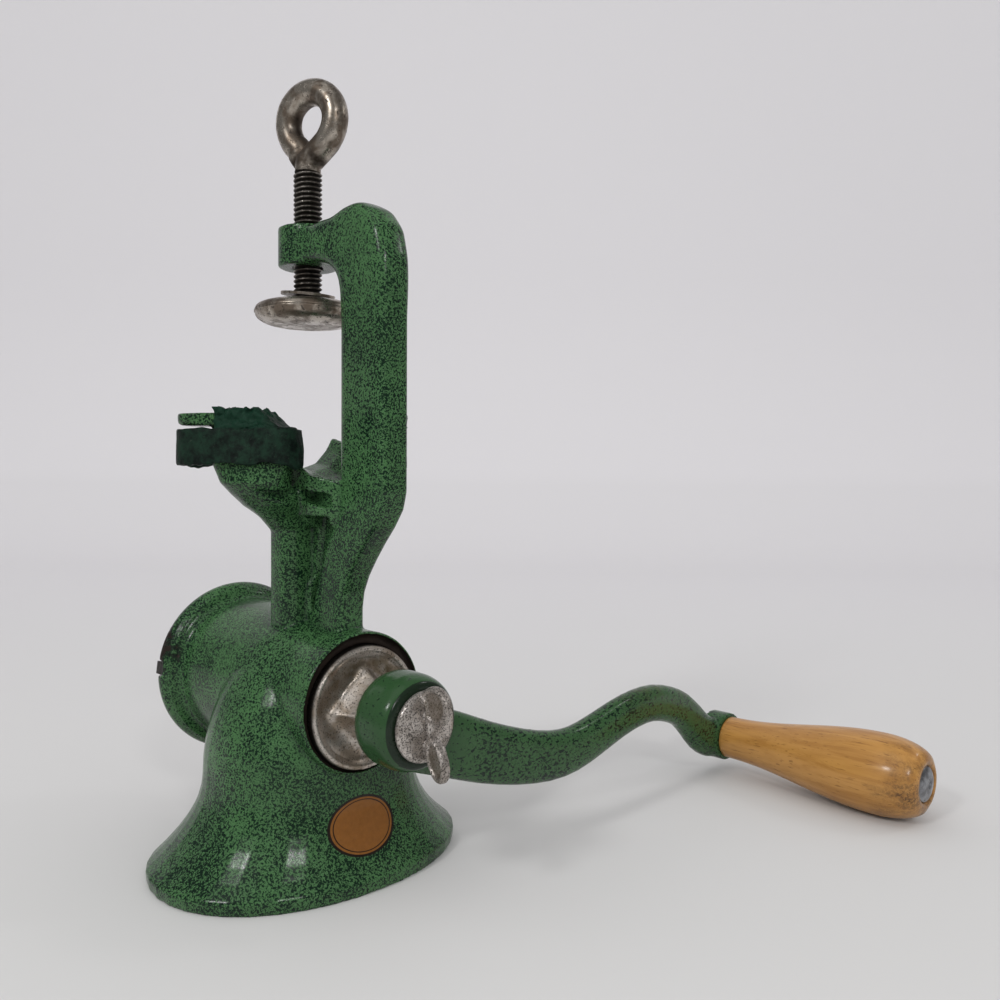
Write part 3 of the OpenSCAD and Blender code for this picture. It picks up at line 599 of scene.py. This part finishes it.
def lowerFeet(casting):
    # where the rubber runs down, the foot inside it lies lower too
    shape = footShape
    points = vertexArray(casting)
    for node in padSides:
        along, across, over, slope = moundPlace(points, node)
        inside = (along > -0.2) & (along < 1.05) & (across < shape["halfWidth"])
        inside &= (over > shape["lowest"]) & (over < shape["highest"])
        slope = np.where(along < 0.5, moundShape["most"], slope)
        most = moundHeight(node) * slope - shape["cover"]
        points[:, 2] = np.where(inside & (over > most), points[:, 2] - over + most, points[:, 2])
    storeVertices(casting, points)


def roundForms(casting):
    # the bend at the top of the leg, beyond the clamp screw's boss, and the feet's bare ends are cast round
    shape, foot = castingShape, footShape
    p = vertexArray(casting)
    boss = np.hypot(p[:, 0] - clampLine[0], p[:, 1] - clampLine[1])
    head = ramp(p[:, 2], shape["headFrom"], shape["headTo"]) * ramp(boss, shape["bossFrom"], shape["bossTo"])
    weights = head.copy()
    for node in padSides:
        along, across, over, _ = moundPlace(p, node)
        bare = (1 - ramp(along, foot["bareFrom"], foot["bareTo"])) * (along > -0.3)
        bare = bare * (across < foot["bareWidth"]) * (over > foot["lowest"]) * (over < foot["highest"])
        weights = np.maximum(weights, bare * foot["share"])
    group = casting.vertex_groups.new(name="rounded")
    for i in np.nonzero(weights)[0]:
        group.add([int(i)], float(weights[i]), "REPLACE")
    smoothed(casting, shape["headPasses"], "rounded")
    casting.vertex_groups.clear()
    swell = (head * shape["headSwell"])[:, None]
    storeVertices(casting, vertexArray(casting) + vertexArray(casting, "normal") * swell)


def notchCutter():
    # slot in the outlet rim for the plate's lug
    shape = castingShape
    half = shape["lugWidth"] / 2
    turn = Matrix.Rotation(-radians(shape["lugAngle"]), 3, "X")
    rings = []
    for x in (outletX - 1 * mm, outletX + shape["seatDepth"]):
        corners = ((-25 * mm, -half), (-35 * mm, -half), (-35 * mm, half), (-25 * mm, half))
        rings.append([turn @ Vector((x, y, z)) + Vector((0, 0, shaftZ)) for y, z in corners])
    return ringsPiece("cutter", rings)


def paintCasting(casting):
    # where the enamel is missing: machined recess, bores, plate notch and a chipped rim
    shape = castingShape
    p = vertexArray(casting)
    x, y, z = p[:, 0], p[:, 1], p[:, 2]
    fromShaft = np.hypot(y, z - shaftZ)
    fromRecess = np.hypot(y, z - shaftZ - shape["recessLift"])
    recess = fromRecess < shape["recessRadius"] + 0.15 * mm
    recess &= x > shape["rearX"] - shape["recessDepth"] - 0.2 * mm
    seat = (fromShaft < shape["seatRadius"] + 0.1 * mm) & (x < outletX + shape["seatDepth"] + 0.4 * mm)
    bores = (fromShaft < shape["boreRadius"] + 0.2 * mm) | seat
    hole = (np.hypot(x - clampLine[0], y) < shape["screwHole"] + 0.1 * mm) & (z > z.max() - 25 * mm)
    rim = (x < outletX + 12 * mm) & (y < 0) & (fromShaft > shape["rimInside"])
    angle = np.degrees(np.arctan2(z - shaftZ, -y))
    ragged = roughness(p, 380, 3, rim)
    chip = 1.1 - np.abs(angle - shape["chipAngle"]) / 20 + ragged * 0.8
    chip -= np.abs(x - outletX - 2 * mm) / (7 * mm)
    notch = 1.2 - np.abs(angle - shape["lugAngle"]) / 9 - np.abs(x - outletX) / (6.5 * mm)
    worn = np.where(rim, np.maximum(chip, notch), 0)
    storeMask(casting, "bare", np.maximum(recess | bores | hole, ramp(worn, 0.2, 0.6)))
    storeMask(casting, "rim", np.where(rim, ramp(worn, -0.3, 0.3), 0))
    # painted shade: creases and hollows, such as the groove between strut and leg, are darkened
    storeMask(casting, "hollow", hollows(casting, 16, 0.8 * mm))
    # the roundel is on the hopper's outside only
    facing = vertexArray(casting, "normal") @ np.array(badgeLook["normal"])
    near = np.linalg.norm(p - np.array(badgeLook["centre"]), axis=1) < badgeLook["radius"] + 5 * mm
    storeMask(casting, "badge", near & (facing > 0.3))


# crank

crankShape = dict(voxel=0.6 * mm, passes=5, stainFrom=95 * mm, stainTo=165 * mm, calmFrom=15.7 * mm,
                  calmTo=26.7 * mm, oilFrom=12.6 * mm, oilTo=13.4 * mm)


def makeCrank():
    shape = crankShape
    crank = softCasting(copyOfNode("crank_arm", "enamelledCrank"), shape)
    # the enamel has pooled into an olive stain along the top of the outer bend
    p, normals = vertexArray(crank), vertexArray(crank, "normal")
    start, end = shape["stainFrom"], shape["stainTo"]
    length = ramp(p[:, 1], start, start + 20 * mm) * (1 - ramp(p[:, 1], end - 15 * mm, end))
    pooled = 0.5 + roughness(p, 260, 4, length > 0) * 0.9
    storeMask(crank, "stain", pooled * length * ramp(normals[:, 2], -0.5, 0.9))
    # the hub has fewer flecks, and a ring of painted shade lies in the gap round the thumb screw
    fromShaft = np.hypot(p[:, 1], p[:, 2] - shaftZ)
    storeMask(crank, "calm", 1 - ramp(fromShaft, shape["calmFrom"], shape["calmTo"]))
    face = ramp(p[:, 0], p[:, 0].max() - 1.2 * mm, p[:, 0].max() - 0.6 * mm)
    # painted shade in the crank's creases
    storeMask(crank, "hollow", hollows(crank, 8, 0.6 * mm))
    storeMask(crank, "rim", face * (1 - ramp(fromShaft, shape["oilFrom"], shape["oilTo"])))
    enamel = enamelMaterial("crankEnamel", fleckSize=0.95, cover=0.36, tone=0.62, stretch=(1.0, 0.6, 1.0))
    ownPiece(crank, "crank_arm", "crank", enamel)


# feed screw

# the face's height over the disc, in millimetres, against its distance from the middle
screwShape = dict(voxel=0.45 * mm, passes=3, rim=19.3 * mm, round=16.5 * mm, square=10 * mm, proud=1.3 * mm,
                  face=((7.4, 9.2), (8.6, 7.2), (10.2, 3.4), (12.2, 0.3), (14.0, -1.1), (15.8, -1.2),
                        (17.2, -0.3), (18.2, 0.15), (19.3, 0.0)))


def makeFeedScrew(tinned):
    shape = screwShape
    screw = softCasting(copyOfNode("feed_screw", "tinnedFeedScrew"), shape)
    p, normals = vertexArray(screw), vertexArray(screw, "normal")
    y, z = p[:, 1], p[:, 2] - shaftZ
    fromShaft = np.hypot(y, z)
    # round at the rim, the face turns square towards the hub, with soft ridges up to its corners
    squareness = 1 - ramp(fromShaft, shape["square"], shape["round"])
    reach = fromShaft + (np.abs(y) + np.abs(z) - fromShaft) * squareness
    curve = np.array([tuple(q) for q in splineThrough([(r, h, 0) for r, h in shape["face"]])]) * mm
    faceX = castingShape["rearX"] + shape["proud"]
    facing = (normals[:, 0] > 0.12) & (p[:, 0] > faceX - 4 * mm)
    facing &= (fromShaft < shape["rim"]) & (reach > curve[0, 0])
    p[facing, 0] = faceX + np.interp(reach[facing], curve[:, 0], curve[:, 1])
    storeVertices(screw, p)
    # the disc's side wall at its edge is darkened, and the hollow is stained above the hub
    edge = ramp(fromShaft, shape["rim"] - 0.8 * mm, shape["rim"]) * (1 - ramp(normals[:, 0], 0.3, 0.8))
    above = ramp(z, 6 * mm, 14 * mm) * (1 - ramp(np.abs(fromShaft - 12 * mm), 2 * mm, 5 * mm)) * facing
    storeMask(screw, "grime", edge)
    storeMask(screw, "stain", above * (0.9 + roughness(p, 250, 3, above > 0)))
    ownPiece(screw, "feed_screw", "crank", tinned)


# thumb screw

# each wing: its middle ahead of and above the screw's line, its half sizes, its turn and its lean
thumbShape = dict(disc=10.7 * mm, thick=2.4 * mm, shankRadius=3.7 * mm, wingTurn=4.0, voxel=0.26 * mm,
                  passes=2, lumps=0.06 * mm,
                  upper=dict(ahead=6.8, above=7.2, half=(5.9, 5.6), turn=0.0, lean=-18.0),
                  lower=dict(ahead=7.6, above=-8.3, half=(4.3, 6.6), turn=-9.0, lean=-24.0),
                  ridge=dict(ahead=2.8, above=0.0, half=(1.7, 9.0), turn=0.0, lean=0.0))
# half thickness of a wing against its share of the way out: a raised border round a sunk face
wingProfile = ((0.02, 0.75), (0.68, 0.75), (0.78, 1.5), (0.92, 1.5), (1.0, 0.8))


def wingFrame(part, frameOf):
    return (frameOf @ Matrix.Rotation(radians(part["turn"]), 4, "Z")
            @ Matrix.Translation((part["ahead"] * mm, 0, part["above"] * mm))
            @ Matrix.Rotation(radians(part["lean"]), 4, "Y")
            @ Matrix.Diagonal((part["half"][0] * mm, 1, part["half"][1] * mm, 1)))


def wing(part, frameOf):
    outline = [(r, -h * mm) for r, h in wingProfile] + [(r, h * mm) for r, h in reversed(wingProfile)]
    plate = turnedPiece("wing", outline, (0, 0, 0), (0, 1, 0), 64)
    plate.data.transform(wingFrame(part, frameOf))
    return plate


def makeThumbScrew(cast):
    shape = thumbShape
    low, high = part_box("thumb_screw")
    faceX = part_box("crank_arm")[1][0]
    r, t, thin = shape["disc"], shape["thick"], shape["shankRadius"]
    length = faceX - low[0] + 0.5 * mm
    outline = [(0, 0), (r - 0.6 * mm, 0), (r, 0.7 * mm), (r - 0.2 * mm, t - 0.7 * mm), (r - 1.6 * mm, t),
               (r * 0.5, t + 0.4 * mm), (0, t + 0.6 * mm)]
    disc = turnedPiece("disc", outline, (faceX, 0, shaftZ))
    shank = turnedPiece("shank", [(0, 0), (thin, 0), (thin, length), (0, length)], (low[0], 0, shaftZ))
    frameOf = Matrix.Translation((faceX, 0, shaftZ)) @ Matrix.Rotation(radians(shape["wingTurn"]), 4, "X")
    wings = [wing(shape[part], frameOf) for part in ("upper", "lower", "ridge")]
    screw = softCasting(joinPieces("castThumbScrew", [disc, shank] + wings), shape)
    points = vertexArray(screw)
    points += vertexArray(screw, "normal") * (roughness(points, 700, 3) * shape["lumps"])[:, None]
    points[:, 0] = np.minimum(points[:, 0], high[0] + 1.2 * mm)
    storeVertices(screw, points)
    sunk = np.zeros(len(points))
    for part in ("upper", "lower"):
        toWing = wingFrame(shape[part], frameOf).inverted()
        local = np.array([tuple(toWing @ Vector(q)) for q in points])
        sunk = np.maximum(sunk, 1 - ramp(np.hypot(local[:, 0], local[:, 2]), 0.64, 0.76))
    storeMask(screw, "stain", sunk * 0.55)
    # its creases are darkened as well
    storeMask(screw, "grime", hollows(screw, 6, 0.35 * mm) * 0.6)
    ownPiece(screw, "thumb_screw", "thumb_screw", cast)


# wooden handle and its spindle

handleShape = dict(neckRadius=8.6 * mm, bellyRadius=15.45 * mm, endRadius=8.8 * mm, belly=0.79,
                   headRadius=6.9 * mm, headRise=3.0 * mm, count=64)


def handleRadius(u):
    shape = handleShape
    if u < shape["belly"]:
        return easeBetween(shape["neckRadius"], shape["bellyRadius"], (u / shape["belly"]) ** 1.05)
    v = (u - shape["belly"]) / (1 - shape["belly"])
    return shape["endRadius"] + (shape["bellyRadius"] - shape["endRadius"]) * sqrt(max(0, 1 - v * v))


def makeHandle(wood):
    shape = handleShape
    low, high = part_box("wood_handle")
    length = high[0] - low[0]
    shares = [i / shape["count"] for i in range(shape["count"] + 1)]
    profile = [(0, 0), (shape["neckRadius"] - 1.0 * mm, 0)]
    profile += [(handleRadius(u), length * max(u, 0.006)) for u in shares]
    profile += [(shape["endRadius"] - 0.6 * mm, length), (shape["headRadius"] + 0.25 * mm, length - 0.2 * mm),
                (shape["headRadius"] + 0.2 * mm, length - 1.4 * mm), (0, length - 1.4 * mm)]
    handle = turnedPiece("woodenHandle", profile, (low[0], handleLine[1], handleLine[2]), steps=128)
    p = vertexArray(handle)
    along = (p[:, 0] - low[0]) / length
    blots = roughness(p * (0.5, 1, 1), 180)
    # towards the bulb end the wood is darkened with grime, and further on its underside: painted shade
    undersideShade = ramp(handleLine[2] - p[:, 2], -6 * mm, 14 * mm)
    worn = ramp(along, 0.78, 1.0) * (0.30 + 0.35 * undersideShade + blots * 0.8) + ramp(0.06 - along, 0, 0.06) * 0.3
    storeMask(handle, "grime", worn + np.maximum(0, blots - 0.45) * 0.3)
    ownPiece(handle, "wood_handle", "handle", wood)


def makeSpindle(rivet):
    shape = handleShape
    low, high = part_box("handle_spindle")
    r, rise = shape["headRadius"], shape["headRise"]
    flat = high[0] - low[0] - rise
    dome = [(r * cos(radians(a)), flat + (rise - 0.5 * mm) * sin(radians(a)) ** 0.8)
            for a in range(8, 76, 7)]
    punched = [(1.5 * mm, flat + rise - 0.5 * mm), (1.0 * mm, flat + rise - 1.0 * mm),
               (0, flat + rise - 1.2 * mm)]
    profile = [(0, 0), (3.2 * mm, 0), (3.2 * mm, flat - 1 * mm), (r * 0.6, flat - 0.2 * mm), (r, flat)]
    spindle = turnedPiece("rivetedSpindle", profile + dome + punched, (low[0], handleLine[1], handleLine[2]),
                          steps=64)
    ownPiece(spindle, "handle_spindle", "crank", rivet)


# clamp screw with its rolled eye

clampShape = dict(pitch=1.5875 * mm, crest=4.76 * mm, root=3.85 * mm, leadIn=1.2 * mm, leadOut=1.5 * mm,
                  dirtFrom=4.31 * mm, dirtTo=4.68 * mm, shankTop=232.5 * mm, threadEnd=230.5 * mm,
                  eyeTurn=18.0, eyeRadius=10.05 * mm, eyeCentre=245.7 * mm, eyeOffset=1.4 * mm,
                  neckRod=4.3 * mm, eyeRod=4.35 * mm, growOver=14, taperOver=9,
                  footRadius=7.1 * mm, footHeight=2.7 * mm, footRound=0.5 * mm)


def threadedRod(name, start, end, centre):
    shape = clampShape
    steps, perTurn = 48, 12
    count = int((end - start) / shape["pitch"] * perTurn) + 1
    rings = []
    for k in range(count + 1):
        z = start + (end - start) * k / count
        fade = min(1, max(0, (z - start) / shape["leadIn"]), max(0, (end - z) / shape["leadOut"]))
        ring = []
        for i in range(steps):
            a = 2 * pi * i / steps
            phase = (z / shape["pitch"] - i / steps) % 1
            tooth = min(1, max(0, abs(phase - 0.5) * 2.5 - 0.12))
            r = shape["root"] + (shape["crest"] - shape["root"]) * tooth * fade
            ring.append((centre[0] + r * cos(a), centre[1] + r * sin(a), z))
        rings.append(ring)
    return ringsPiece(name, rings)


def eyePath():
    # the rod leaves the shank, leans right, runs round and laps against the shank on its left
    shape = clampShape
    r, top = shape["eyeRadius"], shape["shankTop"]
    points = [(0, 0, shape["threadEnd"] - 1 * mm), (0.3 * mm, 0, top), (2.6 * mm, 0, top + 1.9 * mm)]
    for degrees in range(-50, 231, 14):
        a = radians(degrees)
        lap = 1.6 * mm * max(0, (degrees - 150) / 80)
        pinch = 1 - 0.06 * max(0, cos(a + pi / 2))
        points.append((shape["eyeOffset"] + r * cos(a) * pinch, lap, shape["eyeCentre"] + r * sin(a)))
    points += [(-3.6 * mm, 2.2 * mm, top + 1.4 * mm), (-1.6 * mm, 3.0 * mm, top - 0.8 * mm)]
    shift = Matrix.Translation((clampLine[0], clampLine[1], 0))
    turn = shift @ Matrix.Rotation(radians(shape["eyeTurn"]), 4, "Z")
    return [turn @ Vector(p) for p in splineThrough(points, 6)]


def darkenEye(eye):
    # darker on the eye's inner faces and where it joins the shank
    shape = clampShape
    p, normals = vertexArray(eye), vertexArray(eye, "normal")
    middle = np.array((clampLine[0], clampLine[1], shape["eyeCentre"]))
    inward = -((p - middle) * normals).sum(axis=1) / np.linalg.norm(p - middle, axis=1)
    innerDarkening = ramp(inward, 0.1, 0.9) * (0.45 + roughness(p, 160, 4) * 0.9)
    low = 1 - ramp(p[:, 2], shape["shankTop"] + 1 * mm, shape["shankTop"] + 7 * mm)
    joint = low * (0.55 + roughness(p, 260, 4, shift=2.0))
    storeMask(eye, "grime", np.maximum(innerDarkening, joint) * 0.85)


def darkenRoots(rod):
    # the thread's roots are darkened and its crests left bright: partly dirt and wear, partly painted shade
    # in the roots and painted highlight on the crests
    p = vertexArray(rod)
    radius = np.hypot(p[:, 0] - clampLine[0], p[:, 1] - clampLine[1])
    storeMask(rod, "grime", 1 - ramp(radius, clampShape["dirtFrom"], clampShape["dirtTo"]))


def makeClampScrew(nickel, blackened):
    shape = clampShape
    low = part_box("clamp_screw")[0]
    path = eyePath()
    radii = []
    for i in range(len(path)):
        left = min(1, (len(path) - 1 - i) / shape["taperOver"])
        full = easeBetween(shape["neckRod"], shape["eyeRod"], i / shape["growOver"])
        radii.append(full * (0.45 + 0.55 * left))
    eye = sweptTube("rolledEye", path, radii, 40)
    darkenEye(eye)
    rod = threadedRod("clampThread", low[2] + 1.0 * mm, shape["threadEnd"], clampLine)
    darkenRoots(rod)
    r, h, edge = shape["footRadius"], shape["footHeight"], shape["footRound"]
    outline = [(0, 0), (r - edge, 0), (r, edge), (r, h - edge), (r - edge, h), (0, h)]
    foot = turnedPiece("clampScrewFoot", outline, (clampLine[0], clampLine[1], low[2]), (0, 0, 1), 64)
    for piece, finish in ((eye, nickel), (rod, blackened), (foot, nickel)):
        ownPiece(piece, "clamp_screw", "clamp_screw", finish)


# swivel cap

capShape = dict(wall=1.2 * mm, floor=1.4 * mm, skin=1.0 * mm, hole=5.1 * mm, count=12)


def dishProfile(radius, rise):
    shape = capShape
    profile = [(0, 0)]
    for i in range(shape["count"] + 1):
        a = pi / 2 * i / shape["count"]
        profile.append((radius * (0.40 + 0.60 * sin(a)) - 0.25 * mm, rise * 0.84 * (1 - cos(a)) ** 1.15))
    return profile + [(radius, rise * 0.88), (radius, rise), (radius - shape["wall"], rise),
                      (radius - 1.6 * mm, rise * 0.7), (radius * 0.6, shape["floor"]), (0, shape["floor"])]


def crown(share, rise):
    return rise * sin(pi / 2 * share ** 0.8)


def shellProfile(radius, rise):
    # crowned outside and inside skins, up to the screw's hole
    hole, skin = capShape["hole"], capShape["skin"]
    top = radius - 0.4 * mm
    count = capShape["count"] - 1
    outside = [(easeBetween(top, hole, i / count), skin / 2 + crown(i / count, rise - skin / 2))
               for i in range(1, count + 1)]
    inside = [(easeBetween(top - skin, hole, i / count), crown(i / count, rise - skin))
              for i in range(count, 0, -1)]
    return [(radius - skin, 0), (radius - 0.1 * mm, 0), (radius - 0.2 * mm, 0.45 * mm)] + outside + inside


def makeCap(nickel):
    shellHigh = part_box("cap_shell")[1]
    dishLow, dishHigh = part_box("cap_dish")
    radius, rimZ = (dishHigh[0] - dishLow[0]) / 2, dishHigh[2]
    up = (0, 0, 1)
    dish = turnedPiece("capDish", dishProfile(radius, rimZ - dishLow[2]), (clampLine[0], 0, dishLow[2]), up)
    shell = turnedPiece("capShell", shellProfile(radius, shellHigh[2] - rimZ), (clampLine[0], 0, rimZ), up,
                        hollow=True)
    washer = copyOfNode("cap_washer", "looseWasher")
    for piece, node in ((dish, "cap_dish"), (shell, "cap_shell"), (washer, "cap_washer")):
        ownPiece(piece, node, "cap", nickel)


# rubber shoes

padShape = dict(voxel=0.5 * mm, passes=4, crumble=1.3 * mm, wear=0.12 * mm, wobble=1.0 * mm, sag=0.3 * mm,
                lip=1.6 * mm, lowest=2.2 * mm, loose=1.0 * mm, looseStart=0.2 * mm)


def makePad(node, name, rubber, shift):
    # a perished shoe, whose top has crumbled into a mound that runs down towards the leg
    shape = padShape
    pad = softCasting(copyOfNode(node, name), shape)
    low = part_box(node)[0]
    points, normals = vertexArray(pad), vertexArray(pad, "normal")
    along, _, over, slope = moundPlace(points, node)
    crumb = ramp(over, -0.6 * mm, 0.8 * mm) * ramp(slope, 0.2, 0.7)
    lumps = roughness(points, 330, 4, shift=shift) * (shape["wear"] + shape["crumble"] * crumb)
    swell = roughness(points, 70, 2, shift=shift) * shape["wobble"]
    outward = (lumps + swell - shape["sag"] * crumb) * (0.3 + 0.7 * ramp(along, 0.2, 0.3))
    points += normals * outward[:, None]
    # the wall's lower edge hangs in a ragged lip
    lip = ramp(-over, 7 * mm, 9.5 * mm) * (0.5 + roughness(points, 120, 3, shift=shift + 1.0)).clip(0, 1.2)
    points[:, 2] -= np.maximum(over, 0) * (1 - slope) + lip * shape["lip"]
    # crumbs may stand proud of the mound, but hardly where it starts
    loose = np.where(along < 0.4, shape["looseStart"], shape["loose"])
    most = low[2] + moundShape["wallTop"] + moundHeight(node) * slope + loose
    points[:, 2] = np.clip(points[:, 2], low[2] - shape["lowest"], most)
    storeVertices(pad, points)
    storeMask(pad, "crumb", crumb)
    ownPiece(pad, node, "mincer", rubber)


# stage, light and camera

view = dict(place=(265.4 * mm, -167.2 * mm, 129.4 * mm), turn=0.770, dip=0.030, roll=0.006, focalPixels=907.0)
stageLook = dict(floor=(0.61, 0.605, 0.600), wall=(0.80, 0.785, 0.805), wallFrom=-0.02, wallTo=0.14,
                 fadeFrom=-0.2, fadeTo=0.95, fadeShare=0.9, front=-0.9, back=0.9, bend=0.5, bendSteps=12,
                 height=2.6, half=2.6, dull=0.7, gloss=0.2)
roomLook = dict(colour=(0.80, 0.80, 0.80), diffuse=1.0, glossy=0.22)
# each lamp's direction and distance from the point it is aimed at, its width and its power
lampAim = (0.0, 50 * mm, 80 * mm)
lampLook = dict(
    leftBox=dict(toward=(0.12, -0.80, 0.59), away=1.0, width=0.145, power=2.2),
    rightBox=dict(toward=(0.80, -0.39, 0.46), away=1.0, width=0.125, power=1.5),
    sideBox=dict(toward=(0.50, 0.62, 0.60), away=1.0, width=0.12, power=0.5),
    overhead=dict(toward=(0.10, -0.35, 1.0), away=1.3, width=0.9, power=1.0))


def makeStage():
    # floor that sweeps up into a plain backdrop, with no edge to be seen
    look = stageLook
    outline = [(look["front"], 0), (look["back"], 0)]
    for i in range(1, look["bendSteps"] + 1):
        a = pi / 2 * i / look["bendSteps"]
        outline.append((look["back"] + look["bend"] * sin(a), look["bend"] * (1 - cos(a))))
    outline.append((look["back"] + look["bend"], look["height"]))
    forward = Vector((-cos(view["turn"]), sin(view["turn"]), 0))
    side = Vector((forward.y, -forward.x, 0))
    verts = [forward * d + side * s + Vector((0, 0, z))
             for d, z in outline for s in (-look["half"], look["half"])]
    faces = [(2 * i, 2 * i + 1, 2 * i + 3, 2 * i + 2) for i in range(len(outline) - 1)]
    paper = newPiece("paleFloor", verts, faces)
    material, tree, skin = startMaterial("palePaper")
    place = objectPlace(tree)
    height = addNode(tree, "ShaderNodeSeparateXYZ")
    feed(tree, height.inputs[0], place)
    behind = vectorNode(tree, "DOT_PRODUCT", place, tuple(forward))
    risen = mapRange(tree, height.outputs["Z"], look["wallFrom"], look["wallTo"])
    faded = mapRange(tree, behind, look["fadeFrom"], look["fadeTo"], 0.0, look["fadeShare"])
    colour = mixColour(tree, mathNode(tree, "MAXIMUM", risen, faded), look["floor"], look["wall"])
    feedAll(tree, skin, {"Base Color": colour, "Roughness": look["dull"],
                         "Specular IOR Level": look["gloss"]})
    paper.data.materials.append(material)
    print("floor and backdrop")


def makeRoom():
    # shiny surfaces see a dimmer room than the one that lights the scene
    world = bpy.data.worlds.new("softRoom")
    bpy.context.scene.world = world
    world.use_nodes = True
    tree = world.node_tree
    back = tree.nodes["Background"]
    rays = addNode(tree, "ShaderNodeLightPath")
    strength = mixValue(tree, rays.outputs["Is Glossy Ray"], roomLook["diffuse"], roomLook["glossy"])
    feedAll(tree, back, {"Color": roomLook["colour"], "Strength": strength})
    print("room light")


def makeLamps():
    for name, look in lampLook.items():
        toward = Vector(look["toward"]).normalized()
        lamp = bpy.data.lights.new(name, "AREA")
        lamp.shape = "DISK"
        lamp.size = look["width"]
        lamp.energy = look["power"]
        obj = newObject(name, lamp)
        obj.location = Vector(lampAim) + toward * look["away"]
        obj.rotation_euler = (-toward).to_track_quat("-Z", "Y").to_euler()
    print("%d lamps" % len(lampLook))


def makeCamera():
    turn, dip, roll = view["turn"], view["dip"], view["roll"]
    ahead = Vector((-cos(turn) * cos(dip), sin(turn) * cos(dip), -sin(dip)))
    right = ahead.cross(Vector((0, 0, 1))).normalized()
    up = right.cross(ahead)
    tiltedRight = right * cos(roll) + up * sin(roll)
    tiltedUp = up * cos(roll) - right * sin(roll)
    data = bpy.data.cameras.new("camera")
    data.sensor_width = 36
    data.lens = view["focalPixels"] * data.sensor_width / 1000
    data.clip_start = 0.01
    camera = newObject("camera", data)
    frameOf = Matrix((tiltedRight, tiltedUp, -ahead)).transposed().to_4x4()
    frameOf.translation = Vector(view["place"])
    camera.matrix_world = frameOf
    bpy.context.scene.camera = camera
    print("camera")


bpy.context.scene.view_settings.view_transform = "Standard"
metals = {name: metalMaterial(name, **look) for name, look in metalLooks.items()}
nickel, pitted = metals["tarnishedNickel"], metals["pittedTin"]
rubber = rubberMaterial()

makeCasting()
makeCrank()
makeFeedScrew(metals["tinnedIron"])
makeThumbScrew(pitted)
makeHandle(woodMaterial())
makeSpindle(metals["rivetSteel"])
makeClampScrew(nickel, metals["blackenedThread"])
makeCap(nickel)
makePad("near_pad", "nearRubberShoe", rubber, 0.0)
makePad("far_pad", "farRubberShoe", rubber, 3.7)
for node, finish in (("cutter", "dullSteel"), ("mincing_plate", "greasySteel"), ("plate_nut", "pittedTin")):
    nodes[node].data.materials.clear()
    nodes[node].data.materials.append(metals[finish])
makeStage()
makeRoom()
makeLamps()
makeCamera()
